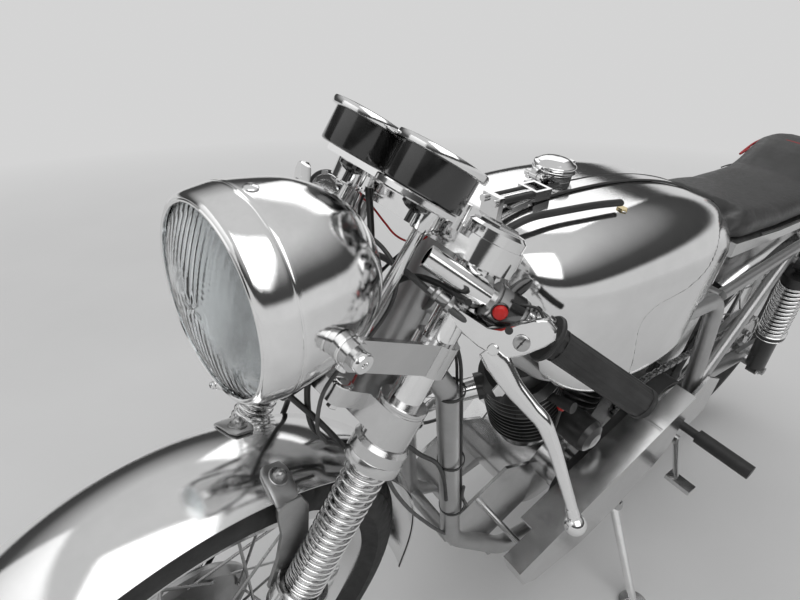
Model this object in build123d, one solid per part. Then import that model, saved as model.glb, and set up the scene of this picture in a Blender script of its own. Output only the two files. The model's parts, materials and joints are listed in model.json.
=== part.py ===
from build123d import *
import os
from math import acos, asin, cos, degrees, radians, sin, sqrt, tan

# Sprint racing motorcycle, millimetres. X forward, Y left, Z up.
# Modelled upright about the rear axle line, then parked leaning on its side stand.

# Wheels and steering geometry
WHEELBASE = 1410.0
RAKE = 26.0
TRAIL = 95.0
WHEEL_R = 325.0
STEER_X = WHEELBASE + TRAIL
STEER_TURN = 5.9
LEAN = 10.0
REAR_CROWN_R = 54.0
FRONT_CROWN_R = 46.0
REAR_BEAD_R = 228.6
FRONT_BEAD_R = 241.3
REAR_RIM_W = 64.0
FRONT_RIM_W = 58.0
FRONT_GUARD_GAP = 21.0
REAR_GUARD_GAP = 22.0
SPOKE_D = 4.0
SPOKES_PER_SIDE = 16
SPOKE_FLANGE_R = 78.0

# Fork, in the steering frame: n forward, y left, s up the steering axis
FORK_N = 57.1
FORK_Y = 93.0
AXLE_S = 333.8
STANCHION_D = 35.0
SLIDER_D = 56.0
SPRING_S0 = 546.0
SPRING_S1 = 727.0
YOKE_S0 = 765.0
YOKE_S1 = 797.0
TOP_YOKE_S0 = 964.0
TOP_YOKE_S1 = 982.0
HEAD_TUBE_D = 56.0
HEAD_BORE_D = 38.0
STEM_D = 26.0

# Lamp and clocks, steering frame
LAMP_N = 213.0
LAMP_S = 866.0
LAMP_R = 95.0
CLOCK_N = 133.0
CLOCK_Y = 51.4
CLOCK_R = 50.0
CLOCK_S0 = 991.0
CLOCK_S1 = 1040.0

# Clip-on bars, steering frame (left side, mirrored for the right)
BAR_D = 22.0
BAR_START = (117.0, 76.0, 953.0)
BAR_DIR = (-0.6896, 0.7091, -0.1468)
BAR_LENGTH = 259.0
GRIP_T0 = 137.0
GRIP_T1 = 262.0
GRIP_D = 33.0

# Frame
TUBE_D = 31.75
PIVOT_X = 430.0
PIVOT_Z = 365.0
RAIL_Y = 112.0
SHOCK_TOP = (165.0, 142.0, 655.0)
SHOCK_LOW = (62.0, 142.0, 331.0)
AXLE_END_Y = 124.0
AXLE_END_D = 17.0

# Engine and drive
CRANK = (745.0, 0.0, 325.0)
GEARBOX = (545.0, 0.0, 390.0)
VEE_HALF = 25.0
BARREL_S0 = 112.0
BARREL_S1 = 214.0
FIN_R = 68.0
BARREL_R = 49.0
HEAD_S1 = 268.0
ROCKER_S1 = 306.0
BELT_Y0 = 96.0
BELT_Y1 = 128.0
CRANK_PULLEY_R = 46.0
CLUTCH_R = 84.0
CHAIN_Y = 68.0
CHAIN_W = 12.0
GEARBOX_SPROCKET_R = 40.0
REAR_SPROCKET_R = 78.0
GUARD_Y = 180.0
SILENCER_Z = (178.0, 262.0)

# Seat and tank
TANK_CAP_X = 862.0
TANK_CAP_Y = -33.0
TANK_CAP_Z = 878.0
CAP_HINGE = (901.0, TANK_CAP_Y, 892.0)
STRAP_HALF = 11.0
STRAP_T = 3.2
HOSE_D = 9.0

# Side stand
STAND_PIVOT = (628.0, 157.0, 221.0)
STAND_FOOT = (648.0, 282.0, 60.0)
STAND_STOWED = (-0.98, 0.17, 0.08)


def rod(a, b, d):
    axis = Vector(*b) - Vector(*a)
    return Solid.make_cylinder(d / 2, axis.length, Plane(origin=a, z_dir=axis))


def taper(a, b, d0, d1):
    axis = Vector(*b) - Vector(*a)
    return Solid.make_cone(d0 / 2, d1 / 2, axis.length, Plane(origin=a, z_dir=axis))


def box(x0, x1, y0, y1, z0, z1):
    return Pos((x0 + x1) / 2, (y0 + y1) / 2, (z0 + z1) / 2) * Box(x1 - x0, y1 - y0, z1 - z0)


def turned(profile, origin, axis):
    plane = Plane(origin=origin, z_dir=axis)
    spun = revolve(make_face(Polyline(*[(r, 0, h) for r, h in profile], close=True)), Axis.Z)
    return plane.location * spun


def side_plate(points, y0, y1):
    face = make_face(Polyline(*[(x, y0, z) for x, z in points], close=True))
    return extrude(face, amount=abs(y1 - y0), dir=(0, 1 if y1 > y0 else -1, 0))


def swept(points, radius, d):
    path = FilletPolyline(*points, radius=radius)
    return sweep(Plane(origin=path @ 0, z_dir=path % 0) * Circle(d / 2), path=path)


def arc_radii(points):
    # Each bend is as large as its two straight runs allow
    radii = []
    for a, b, c in zip(points, points[1:], points[2:]):
        into = Vector(*b) - Vector(*a)
        out = Vector(*c) - Vector(*b)
        turn = acos(into.normalized().dot(out.normalized()))
        radii.append(0.45 * min(into.length, out.length) / tan(turn / 2))
    return radii


def hull_plate(circles, z0, z1):
    edges = [e for x, y, r in circles for e in (Pos(x, y) * Circle(r)).edges()]
    return Pos(0, 0, z0) * extrude(make_hull(edges), z1 - z0)


def mirrored(shape):
    return mirror(shape, Plane.XZ)


def both(shape):
    return Compound([*shape.solids(), *mirrored(shape).solids()])


def joined(first, *rest):
    result = first
    for piece in rest:
        result = result + piece
    return result


def along(t, offset=(0, 0, 0)):
    return tuple(BAR_START[i] + BAR_DIR[i] * t + offset[i] for i in range(3))


# Wheels
def tyre(crown_r, bead_r, rim_w):
    centre_r = WHEEL_R - crown_r
    half = rim_w / 2 - 4
    end = (crown_r * sin(radians(100)), centre_r + crown_r * cos(radians(100)))
    crown = ThreePointArc((end[0], 0, end[1]), (0, 0, WHEEL_R), (-end[0], 0, end[1]))
    sides = Polyline(
        (-end[0], 0, end[1]),
        (-half, 0, bead_r + 12),
        (-half, 0, bead_r),
        (half, 0, bead_r),
        (half, 0, bead_r + 12),
        (end[0], 0, end[1]),
    )
    section = make_face([crown, *sides.edges()])
    return Rot(0, 0, 90) * revolve(section, Axis.X)


def rim(bead_r, rim_w):
    a = rim_w / 2
    points = [
        (bead_r + 10, -a), (bead_r + 10, -a + 4), (bead_r, -a + 4), (bead_r, a - 4),
        (bead_r + 10, a - 4), (bead_r + 10, a), (bead_r - 4, a), (bead_r - 15, a - 13),
        (bead_r - 15, 13 - a), (bead_r - 4, -a),
    ]
    return turned(points, (0, 0, 0), (0, 1, 0))


def spokes(bead_r, flange_y):
    parts = []
    outer_r = bead_r - 12
    step = 360.0 / SPOKES_PER_SIDE
    for side in (-1, 1):
        for i in range(SPOKES_PER_SIDE):
            lead = 1 if i % 2 else -1
            a0 = radians(i * step + (step / 2 if side > 0 else 0))
            a1 = a0 + lead * radians(48)
            y0 = side * (flange_y + (3.5 if lead > 0 else -3.5))
            inner = (SPOKE_FLANGE_R * sin(a1), y0, SPOKE_FLANGE_R * cos(a1))
            outer = (outer_r * sin(a0), side * 6.0 * (1.6 if lead > 0 else 0.6), outer_r * cos(a0))
            parts.append(rod(inner, outer, SPOKE_D))
    return Compound(parts)


def front_hub():
    points = [
        (10.1, -46), (95, -46), (95, -40), (82, -34), (50, -24), (34, 0), (34, 26), (86, 34),
        (86, 46), (30, 46), (24, 52), (10.1, 52),
    ]
    return turned(points, (0, 0, 0), (0, 1, 0))


def rear_hub():
    points = [
        (10.1, -46), (92, -46), (92, -36), (86, -30), (34, -20), (34, 20), (86, 30), (92, 36),
        (92, 44), (60, 46), (60, 64), (10.1, 64),
    ]
    return turned(points, (0, 0, 0), (0, 1, 0))


def rear_sprocket():
    disc = rod((0, 64, 0), (0, CHAIN_Y + 4, 0), 2 * REAR_SPROCKET_R)
    return disc - rod((0, 60, 0), (0, CHAIN_Y + 5, 0), 64)


# Frame
def frame_loop():
    points = [
        (STEER_X - 393, 26, 800), (965, RAIL_Y, 690), (470, RAIL_Y, 648), (430, 135, 395),
        (455, 122, 195), (880, 85, 195), (1000, 57, 290), (STEER_X - 423, 55, 665), (STEER_X - 369, 26, 748),
    ]
    radii = [60, 50, 55, 60, 70, 80, 60]
    loop = swept(points, radii, TUBE_D)
    return loop


def head_axis(s):
    return (STEER_X - s * sin(radians(RAKE)), 0, s * cos(radians(RAKE)))


def frame_head():
    tube = rod(head_axis(801), head_axis(957), HEAD_TUBE_D)
    gusset = side_plate([(STEER_X - x, z) for x, z in ((387, 800), (449, 765), (439, 712), (379, 745))], -4, 4)
    bore = rod(head_axis(790), head_axis(970), HEAD_BORE_D)
    return joined(tube, gusset) - bore


# Steering parts, in the steering frame
def stanchions():
    return both(rod((FORK_N, FORK_Y, 480), (FORK_N, FORK_Y, 988), STANCHION_D))


def top_yoke():
    web = hull_plate([(FORK_N, FORK_Y, 33), (FORK_N, -FORK_Y, 33), (0, 0, 28)], TOP_YOKE_S0, TOP_YOKE_S1)
    web = web - both(rod((FORK_N, FORK_Y, 900), (FORK_N, FORK_Y, 1100), STANCHION_D))
    nut = rod((0, 0, TOP_YOKE_S1), (0, 0, 1002), 34)
    stem = rod((0, 0, TOP_YOKE_S0 - 1), (0, 0, 1002), STEM_D)
    return joined(web, nut, stem)


def fork_caps():
    cap = joined(
        rod((FORK_N, FORK_Y, 988), (FORK_N, FORK_Y, 998), 60),
        rod((FORK_N, FORK_Y, 982), (FORK_N, FORK_Y, 988), 66) - rod((FORK_N, FORK_Y, 980), (FORK_N, FORK_Y, 988), STANCHION_D),
        taper((FORK_N, FORK_Y, 998), (FORK_N, FORK_Y, 1001), 60, 52),
    )
    return both(cap)


def lower_yoke():
    web = hull_plate([(FORK_N, FORK_Y, 27), (FORK_N, -FORK_Y, 27), (0, 0, 32)], YOKE_S0, YOKE_S1)
    ears = hull_plate([(108, 52, 11), (108, -52, 11), (50, 60, 20), (50, -60, 20)], YOKE_S0 + 12, YOKE_S1)
    collar = joined(
        rod((FORK_N, FORK_Y, 752), (FORK_N, FORK_Y, 803), 53),
        rod((FORK_N, FORK_Y, SPRING_S1), (FORK_N, FORK_Y, 752), 62),
    )
    stem = rod((0, 0, YOKE_S1 - 2), (0, 0, TOP_YOKE_S0 - 1), STEM_D)
    shape = joined(web, ears, *both(collar).solids(), stem)
    return shape - both(rod((FORK_N, FORK_Y, 700), (FORK_N, FORK_Y, 850), STANCHION_D))


def fork_springs():
    ring = rod((FORK_N, FORK_Y, SPRING_S0), (FORK_N, FORK_Y, SPRING_S1), 48)
    bore = rod((FORK_N, FORK_Y, SPRING_S0 - 1), (FORK_N, FORK_Y, SPRING_S1 + 1), STANCHION_D + 0.6)
    return both(ring - bore)


def fork_sliders():
    body = joined(
        rod((FORK_N, FORK_Y, 300), (FORK_N, FORK_Y, 512), SLIDER_D),
        rod((FORK_N, FORK_Y, 512), (FORK_N, FORK_Y, SPRING_S0), 62),
        rod((FORK_N, 66, AXLE_S), (FORK_N, 118, AXLE_S), 44),
        rod((FORK_N - 40, FORK_Y, 440), (FORK_N, FORK_Y, 440), 22),
    )
    body = body - rod((FORK_N, FORK_Y, 480), (FORK_N, FORK_Y, 600), STANCHION_D)
    return both(body) - front_axle()


def front_axle():
    return rod((FORK_N, -126, AXLE_S), (FORK_N, 126, AXLE_S), 20)


def axle_and_brake():
    plate = turned([(8, -52), (88, -52), (92, -46.4), (8, -46.4)], (FORK_N, 0, AXLE_S), (0, 1, 0))
    boss = rod((FORK_N, -64.7, AXLE_S), (FORK_N, -50, AXLE_S), 40)
    spacer = rod((FORK_N, 52.3, AXLE_S), (FORK_N, 64.7, AXLE_S), 28)
    arm = rod((FORK_N + 55, -64, AXLE_S), (FORK_N + 55, -52, AXLE_S), 16)
    lever = rod((FORK_N + 55, -60, AXLE_S), (FORK_N + 62, -60, AXLE_S + 58), 9)
    return joined(front_axle(), plate, boss, spacer, arm, lever)


def front_mudguard():
    inner = WHEEL_R + FRONT_GUARD_GAP
    arcs = []
    for r, drop, w in ((inner + 2.5, 16.0, 61.0), (inner, 16.0, 58.5)):
        arcs.append(ThreePointArc((w, 0, r - drop), (0, 0, r), (-w, 0, r - drop)))
    a, b = arcs
    lips = [Line(a @ 0, b @ 0), Line(a @ 1, b @ 1)]
    face = Rot(0, 0, 90) * make_face([a, b, *lips])
    skin = revolve(face, Axis.Y, revolution_arc=167)
    skin = Pos(FORK_N, 0, AXLE_S) * Rot(0, RAKE - 105, 0) * skin
    stays = []
    for side in (-1, 1):
        stays.append(rod((FORK_N - 30, side * 62, 448), (FORK_N - 48, side * 60.5, AXLE_S + 318), 9))
    return joined(skin, *stays)


def lamp_axis(t):
    return (LAMP_N + cos(radians(RAKE)) * t, 0, LAMP_S - sin(radians(RAKE)) * t)


LAMP_DIR = (cos(radians(RAKE)), 0, -sin(radians(RAKE)))


def headlamp_shell():
    points = [
        (0, -112), (30, -108), (60, -92), (82, -60), (91, -28), (93, 0), (89, 0), (87, -28),
        (78, -58), (57, -88), (28, -104), (0, -107),
    ]
    shell = turned(points, (LAMP_N, 0, LAMP_S), LAMP_DIR)
    return shell


def headlamp_rim():
    points = [(89, 0), (95, 0), (95, 10), (92, 36), (88, 44), (84, 44), (84, 40), (88, 34), (89, 10)]
    return turned(points, (LAMP_N, 0, LAMP_S), LAMP_DIR)


def headlamp_lens():
    points = [(0, 57), (40, 54), (70, 47), (84, 40), (84, 34), (70, 40), (40, 47), (0, 50)]
    return turned(points, (LAMP_N, 0, LAMP_S), LAMP_DIR)


def headlamp_brackets():
    bolt = (190, 92.7, 870)
    sleeve = joined(rod(bolt, (190, 112, 870), 26), rod((190, 112, 870), (190, 119, 870), 18))
    flat = extrude(
        make_face(Polyline((190, 104, 855), (FORK_N, 104, 845), (FORK_N, 104, 880), (190, 104, 885), close=True)),
        amount=6, dir=(0, 1, 0),
    )
    clamp = rod((FORK_N, FORK_Y, 845), (FORK_N, FORK_Y, 880), 47)
    clamp = clamp - rod((FORK_N, FORK_Y, 800), (FORK_N, FORK_Y, 900), STANCHION_D)
    flat = flat - rod((FORK_N, FORK_Y, 800), (FORK_N, FORK_Y, 900), STANCHION_D)
    return both(joined(sleeve, flat, clamp))


def instrument_plate():
    plate = hull_plate([(CLOCK_N, CLOCK_Y, 51), (CLOCK_N, -CLOCK_Y, 51)], CLOCK_S0 - 7, CLOCK_S0)
    pillars = []
    for y in (-52, 52):
        pillars.append(rod((108, y, YOKE_S1), (108, y, CLOCK_S0 - 7), 13))
        pillars.append(rod((108, y, CLOCK_S0 - 25), (108, y, CLOCK_S0 - 7), 22))
    return joined(plate, *pillars)


def clocks():
    body = joined(
        rod((CLOCK_N, CLOCK_Y, CLOCK_S0), (CLOCK_N, CLOCK_Y, CLOCK_S1 - 6), 2 * CLOCK_R - 3),
        rod((CLOCK_N, CLOCK_Y, CLOCK_S1 - 6), (CLOCK_N, CLOCK_Y, CLOCK_S1), 2 * CLOCK_R + 1),
    )
    return both(body)


def clip_ons():
    bar = rod(along(0), along(GRIP_T0 - 3), BAR_D)
    core = rod(along(GRIP_T0 - 3), along(BAR_LENGTH), BAR_D - 4)
    clamp = rod((FORK_N, FORK_Y, 918), (FORK_N, FORK_Y, 960), 49)
    bridge = rod((FORK_N, FORK_Y, 942), along(55), 26)
    shape = joined(bar, core, clamp, bridge)
    shape = shape - rod((FORK_N, FORK_Y, 900), (FORK_N, FORK_Y, 1000), STANCHION_D)
    shape = shape - rod(along(-2), along(20), BAR_D - 5)
    return both(shape)


def grips():
    body = joined(rod(along(GRIP_T0), along(GRIP_T1), GRIP_D), rod(along(GRIP_T0), along(GRIP_T0 + 5), 48))
    return both(body - rod(along(GRIP_T0 - 4), along(BAR_LENGTH), BAR_D - 4))


def levers():
    perch = joined(
        rod(along(112), along(128), 33),
        rod(along(120), (76, 152, 908), 17),
        rod((70, 154, 898), (77, 151, 918), 24),
        rod((74, 140, 909), (75, 120, 908), 13),
    )
    perch = perch - rod(along(100), along(140), BAR_D)
    blade = joined(
        rod((73, 153, 905), (45, 212, 879), 14),
        rod((45, 212, 879), (8, 278, 806), 13),
        Pos(45, 212, 879) * Sphere(7.0),
        Pos(5, 281, 801) * Sphere(10.0),
    )
    whole = joined(perch, blade) - rod(along(60), along(104.3), 37)
    return both(whole)


def switch_housing():
    shape = rod(along(70), along(104), 36) - rod(along(50), along(120), BAR_D)
    return shape - rod((FORK_N, FORK_Y, 900), (FORK_N, FORK_Y, 990), 49.6)


# Tank and seat
TANK_SECTIONS = [
    # x, half width, bottom z, top z, shoulder
    (STEER_X - 459, 80, 770, 845, 30),
    (STEER_X - 485, 122, 728, 868, 60),
    (945, 150, 664, 880, 84),
    (800, 158, 612, 880, 92),
    (650, 150, 588, 860, 88),
    (545, 130, 590, 830, 74),
    (502, 100, 612, 808, 52),
]


def tank_section(x, half, z0, z1, r):
    k = r * (1 - sqrt(0.5))
    low = min(28.0, (z1 - z0) * 0.25)
    kl = low * (1 - sqrt(0.5))
    left = [
        ThreePointArc((x, half - r, z1), (x, half - k, z1 - k), (x, half, z1 - r)),
        Line((x, half, z1 - r), (x, half, z0 + low)),
        ThreePointArc((x, half, z0 + low), (x, half - kl, z0 + kl), (x, half - low, z0)),
    ]
    right = [
        ThreePointArc((x, low - half, z0), (x, kl - half, z0 + kl), (x, -half, z0 + low)),
        Line((x, -half, z0 + low), (x, -half, z1 - r)),
        ThreePointArc((x, -half, z1 - r), (x, k - half, z1 - k), (x, r - half, z1)),
    ]
    edges = [*left, Line((x, half - low, z0), (x, low - half, z0)), *right, Line((x, r - half, z1), (x, half - r, z1))]
    return make_face(edges)


def fuel_tank():
    body = loft([tank_section(*row) for row in TANK_SECTIONS])
    tunnel = side_plate([(400, 500), (400, 676), (480, 682), (965, 724), (990, 735), (990, 500)], -131, 131)
    nose = side_plate([(980, 500), (980, 738), (1030, 800), (1120, 800), (1120, 500)], -100, 100)
    cheek = side_plate([(980, 500), (980, 736), (1040, 752), (1060, 500)], -124, 124)
    return body - tunnel - nose - cheek


def filler_neck():
    x, y, z = CAP_HINGE
    neck = rod((TANK_CAP_X, y, TANK_CAP_Z - 6), (TANK_CAP_X, y, TANK_CAP_Z + 16), 44)
    ears = []
    for y0 in (y - 14, y + 7):
        ears.append(rod((x, y0, z), (x, y0 + 7, z), 8))
        ears.append(box(TANK_CAP_X + 12, x, y0, y0 + 7, z - 4, z))
    pin = rod((x, y - 14, z), (x, y + 14, z), 4)
    return joined(neck, *ears, pin)


def filler_cap():
    x, y, z = CAP_HINGE
    knuckle = joined(rod((x, y - 6.5, z), (x, y + 6.5, z), 8), box(x - 8, x + 4, y - 5, y + 5, z, z + 10))
    lid = joined(
        rod((TANK_CAP_X, y, TANK_CAP_Z + 16.4), (TANK_CAP_X, y, TANK_CAP_Z + 26), 58),
        taper((TANK_CAP_X, y, TANK_CAP_Z + 26), (TANK_CAP_X, y, TANK_CAP_Z + 34), 52, 34),
        box(TANK_CAP_X - 36, x - 4, y - 5, y + 5, TANK_CAP_Z + 18, TANK_CAP_Z + 25),
        knuckle,
    )
    return lid - rod((x, y - 20, z), (x, y + 20, z), 4.2)


def tank_strap():
    grown = []
    for x, half, z0, z1, r in TANK_SECTIONS:
        grown.append(tank_section(x, half + STRAP_T, z0 - STRAP_T, z1 + STRAP_T, r + STRAP_T))
    body = loft([tank_section(*row) for row in TANK_SECTIONS])
    band = loft(grown) & box(504, 985, -STRAP_HALF, STRAP_HALF, 700, 900)
    top = TANK_CAP_Z + 2 + STRAP_T
    buckle = box(922, 952, -15, 15, top - 1, top + 12) - box(927, 947, -STRAP_HALF, STRAP_HALF, top, top + 20)
    anchor = box(1006, 1014, -14, 14, 866, 897)
    rods = [rod((950, y, 890), (1010, y, 890), 5) for y in (-9, 9)]
    nuts = [rod((1014, y, 890), (1019, y, 890), 9) for y in (-9, 9)]
    return joined(band, buckle, anchor, *rods, *nuts) - body


def hose_union():
    return rod((856, 76, 872), (856, 76, 896), 14)


def breather_hose():
    points = [
        (856, 76, 891), (905, 68, 893), (955, 58, 890), (1000, 50, 888), (1034, 45, 876),
        (1052, 43, 846), (1060, 43, 798),
    ]
    return swept(points, arc_radii(points), HOSE_D) - hose_union()


def seat_pad():
    base = side_plate(
        [(494, 762), (489, 790), (470, 803), (300, 782), (150, 782), (118, 800), (70, 872), (20, 880),
         (-120, 862), (-150, 835), (-158, 800), (-150, 782), (100, 742), (300, 746)],
        -112, 112,
    )
    return fillet(base.edges().filter_by(GeomType.LINE).filter_by(Axis.Y).sort_by(Axis.X)[-2:], 8)



def seat_base():
    pan = side_plate([(492, 735), (494, 761.7), (300, 745.7), (100, 741.7), (-150, 781.7), (-165, 760), (100, 722), (300, 728)], -106, 106)
    return pan


# Frame extras
def cross_tubes(loops):
    tubes = joined(
        rod((1001, -57, 290), (1001, 57, 290), 25),
        rod((470, -118, 195), (470, 118, 195), 25),
        rod((470, -RAIL_Y, 650), (470, RAIL_Y, 650), 25),
        rod((900, -84, 195), (900, 84, 195), 22),
    )
    return tubes - loops


def rear_subframe(loops):
    hoop = swept([(470, 113, 655), (-110, 116, 704), (-110, -116, 704), (470, -113, 655)], 70, 22)
    strut = rod((434, 135, 400), (172, 112, 678), 22)
    lug = box(150, 180, 104, 120, 644, 684)
    stud = rod((165, 112, 655), (165, 152, 655), 16)
    struts = both(joined(strut, lug, stud))
    return joined(hoop, *struts.solids()) - loops - cross_tubes(loops)


def swing_arm(loops):
    arms = []
    for y in (-96, 96):
        arms.append(rod((PIVOT_X, y, PIVOT_Z), (48, y, WHEEL_R + 4.5), 32))
        arms.append(side_plate([(-38, 303), (76, 306), (76, 352), (-38, 347)], y - 5, y + 5))
    sleeve = rod((PIVOT_X, -112, PIVOT_Z), (PIVOT_X, 112, PIVOT_Z), 42)
    spindle = rod((PIVOT_X, -149, PIVOT_Z), (PIVOT_X, 149, PIVOT_Z), 17)
    axle = rod((0, -92, WHEEL_R), (0, 92, WHEEL_R), 20)
    ends = rod((0, -AXLE_END_Y, WHEEL_R), (0, AXLE_END_Y, WHEEL_R), AXLE_END_D)
    stubs = rod((62, -158, 331), (62, 158, 331), 14) - box(0, 120, -90, 90, 300, 360)
    spacers = [rod((0, -92, WHEEL_R), (0, -46.3, WHEEL_R), 28), rod((0, 64.3, WHEEL_R), (0, 92, WHEEL_R), 28)]
    return joined(*arms, sleeve, spindle, axle, ends, *spacers, *stubs.solids()) - loops


def shock_point(t, y=142.0):
    return tuple(SHOCK_LOW[i] + (SHOCK_TOP[i] - SHOCK_LOW[i]) * t for i in range(3))


def shock_bodies():
    eye_low = rod((62, 130, 331), (62, 154, 331), 34)
    eye_top = rod((165, 130, 655), (165, 154, 655), 34)
    body = joined(
        rod(shock_point(0.035), shock_point(0.45), 44),
        rod(shock_point(0.36), shock_point(0.40), 62),
        rod(shock_point(0.44), shock_point(0.965), 20),
        rod(shock_point(0.86), shock_point(0.93), 60),
    )
    whole = joined(body, eye_low, eye_top)
    whole = whole - rod((62, 120, 331), (62, 160, 331), 14) - rod((165, 120, 655), (165, 160, 655), 16)
    return both(whole)


def shock_springs():
    ring = rod(shock_point(0.401), shock_point(0.859), 60) - rod(shock_point(0.39), shock_point(0.87), 46)
    return both(ring)


# Engine
def cylinder_axis(front, s):
    side = 1 if front else -1
    return (CRANK[0] + side * s * sin(radians(VEE_HALF)), 0, CRANK[2] + s * cos(radians(VEE_HALF)))


def cylinder_dir(front):
    side = 1 if front else -1
    return (side * sin(radians(VEE_HALF)), 0, cos(radians(VEE_HALF)))


def far_side(front):
    x0 = CRANK[0] + 2
    x1 = CRANK[0] - 2
    return box(x0 - 600, x0, -300, 300, 0, 900) if front else box(x1, x1 + 600, -300, 300, 0, 900)


def crankcase():
    case = rod((CRANK[0], -60, CRANK[2]), (CRANK[0], 60, CRANK[2]), 204)
    mouths = [rod(cylinder_axis(f, 40), cylinder_axis(f, BARREL_S0), 2 * BARREL_R + 16) - far_side(f) for f in (True, False)]
    boss = rod((CRANK[0], 60, CRANK[2]), (CRANK[0], BELT_Y0 - 2, CRANK[2]), 76)
    chest = side_plate(
        [(680, 290), (700, 262), (790, 262), (850, 300), (860, 350), (820, 400), (760, 424), (700, 414), (676, 360)],
        -60, -98,
    )
    return joined(case, *mouths, boss, chest)


def barrels():
    parts = []
    for front in (True, False):
        h0 = BARREL_S0
        points = [(0, h0), (BARREL_R + 8, h0), (BARREL_R + 8, h0 + 7), (BARREL_R, h0 + 7)]
        fins = 7
        pitch = (BARREL_S1 - h0 - 16) / fins
        for i in range(fins):
            z = h0 + 16 + i * pitch
            points += [(BARREL_R, z), (FIN_R, z + 1), (FIN_R, z + 4), (BARREL_R, z + 5)]
        points += [(BARREL_R, BARREL_S1), (0, BARREL_S1)]
        parts.append(turned(points, CRANK, cylinder_dir(front)) - far_side(front))
    return Compound([s for p in parts for s in p.solids()])


def exhaust_port(front):
    centre = cylinder_axis(front, (BARREL_S1 + HEAD_S1) / 2)
    way = (0.785, -0.5, -0.366) if front else (0, -1, 0)
    return tuple(tuple(centre[i] + way[i] * r for i in range(3)) for r in (36, 76, 136))


def heads():
    parts = []
    for front in (True, False):
        h0 = BARREL_S1
        points = [(0, h0), (FIN_R, h0), (FIN_R, h0 + 5)]
        for i in range(3):
            z = h0 + 14 + i * 13
            points += [(56, z - 4), (56, z), (FIN_R, z + 1), (FIN_R, z + 4)]
        points += [(56, HEAD_S1 - 2), (56, HEAD_S1), (0, HEAD_S1)]
        head = turned(points, CRANK, cylinder_dir(front))
        rocker = rod(cylinder_axis(front, HEAD_S1 - 1), cylinder_axis(front, ROCKER_S1), 92)
        start, end = exhaust_port(front)[:2]
        parts.append(joined(head, rocker, rod(start, end, 46)) - far_side(front))
    return Compound([s for p in parts for s in p.solids()])


def air_cleaner():
    # Black drum on the left of the vee, its stub seated on the barrels
    x, z, r = 766, 456, 31
    profile = [(0, 62), (r, 62), (r, 112), (26, 121), (14, 127), (0, 128)]
    stub = rod((x, 30, z), (x, 64, z), 24)
    return joined(turned(profile, (x, 0, z), (0, 1, 0)), stub) - barrels()


def plug_way(front):
    centre = cylinder_axis(front, BARREL_S1 + 30)
    return [(centre[0], y, centre[2] + 0.25 * (y - 50)) for y in (48, 84, 108)]


def spark_plugs():
    parts = []
    for front in (True, False):
        inner, middle, outer = plug_way(front)
        parts.append(joined(rod(inner, middle, 15), rod(middle, outer, 19)) - heads())
    return Compound([s for p in parts for s in p.solids()])


def pushrod_tubes():
    parts = []
    for front in (True, False):
        low = cylinder_axis(front, 62)
        high = cylinder_axis(front, BARREL_S1 - 1)
        parts.append(rod((low[0], -80, low[2] + 14), (high[0], -80, high[2]), 18))
    return Compound(parts) - crankcase()


def hull_side(circles, y0, y1):
    plate = hull_plate(circles, 0, y1 - y0)
    return Pos(0, y1, 0) * Rot(90, 0, 0) * plate


def gearbox():
    shell = side_plate(
        [(488, 322), (520, 296), (590, 296), (622, 330), (622, 430), (585, 468), (510, 466), (484, 430)], -60, 60,
    )
    cover = side_plate([(496, 325), (524, 304), (586, 304), (614, 335), (612, 425), (580, 458), (514, 456), (492, 425)], -60, -86)
    shaft = rod((GEARBOX[0], 58, GEARBOX[2]), (GEARBOX[0], BELT_Y0 - 1, GEARBOX[2]), 44)
    gear = rod((GEARBOX[0], CHAIN_Y - 5, GEARBOX[2]), (GEARBOX[0], CHAIN_Y + 5, GEARBOX[2]), 2 * GEARBOX_SPROCKET_R)
    return joined(shell, cover, shaft, gear)


def belt_pulleys():
    small = rod((CRANK[0], BELT_Y0 - 2, CRANK[2]), (CRANK[0], BELT_Y1 + 2, CRANK[2]), 2 * CRANK_PULLEY_R)
    nut = rod((CRANK[0], BELT_Y1 + 2, CRANK[2]), (CRANK[0], BELT_Y1 + 14, CRANK[2]), 34)
    big = rod((GEARBOX[0], BELT_Y0 - 1, GEARBOX[2]), (GEARBOX[0], BELT_Y1 + 2, GEARBOX[2]), 2 * CLUTCH_R)
    plate = rod((GEARBOX[0], BELT_Y1 + 2, GEARBOX[2]), (GEARBOX[0], BELT_Y1 + 14, GEARBOX[2]), 120)
    return Compound([*joined(small, nut).solids(), *joined(big, plate).solids()])


def primary_belt():
    rings = []
    for grow in (7.0, 0.0):
        rings.append(hull_side(
            [(CRANK[0], CRANK[2], CRANK_PULLEY_R + grow), (GEARBOX[0], GEARBOX[2], CLUTCH_R + grow)],
            BELT_Y0, BELT_Y1,
        ))
    return rings[0] - rings[1]


def rear_chain():
    rings = []
    for grow in (9.0, 0.0):
        rings.append(hull_side(
            [(GEARBOX[0], GEARBOX[2], GEARBOX_SPROCKET_R + grow), (0, WHEEL_R, REAR_SPROCKET_R + 2 + grow)],
            CHAIN_Y - CHAIN_W / 2, CHAIN_Y + CHAIN_W / 2,
        ))
    return rings[0] - rings[1]


def engine_plates(loops):
    front = side_plate([(1004, 276), (1018, 352), (905, 412), (812, 372), (812, 262), (900, 216)], 60, 66)
    rear = side_plate([(722, 236), (722, 408), (650, 474), (604, 482), (604, 330), (640, 240)], 60, 66)
    plates = both(Compound([*front.solids(), *rear.solids()])) - loops - crankcase() - gearbox()
    for front_one in (True, False):
        plates = plates - rod(cylinder_axis(front_one, BARREL_S0 - 3), cylinder_axis(front_one, HEAD_S1), 2 * FIN_R + 4)
    return plates


def guard_z(x):
    return 316 + (965 - x) * 183 / 410


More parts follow.
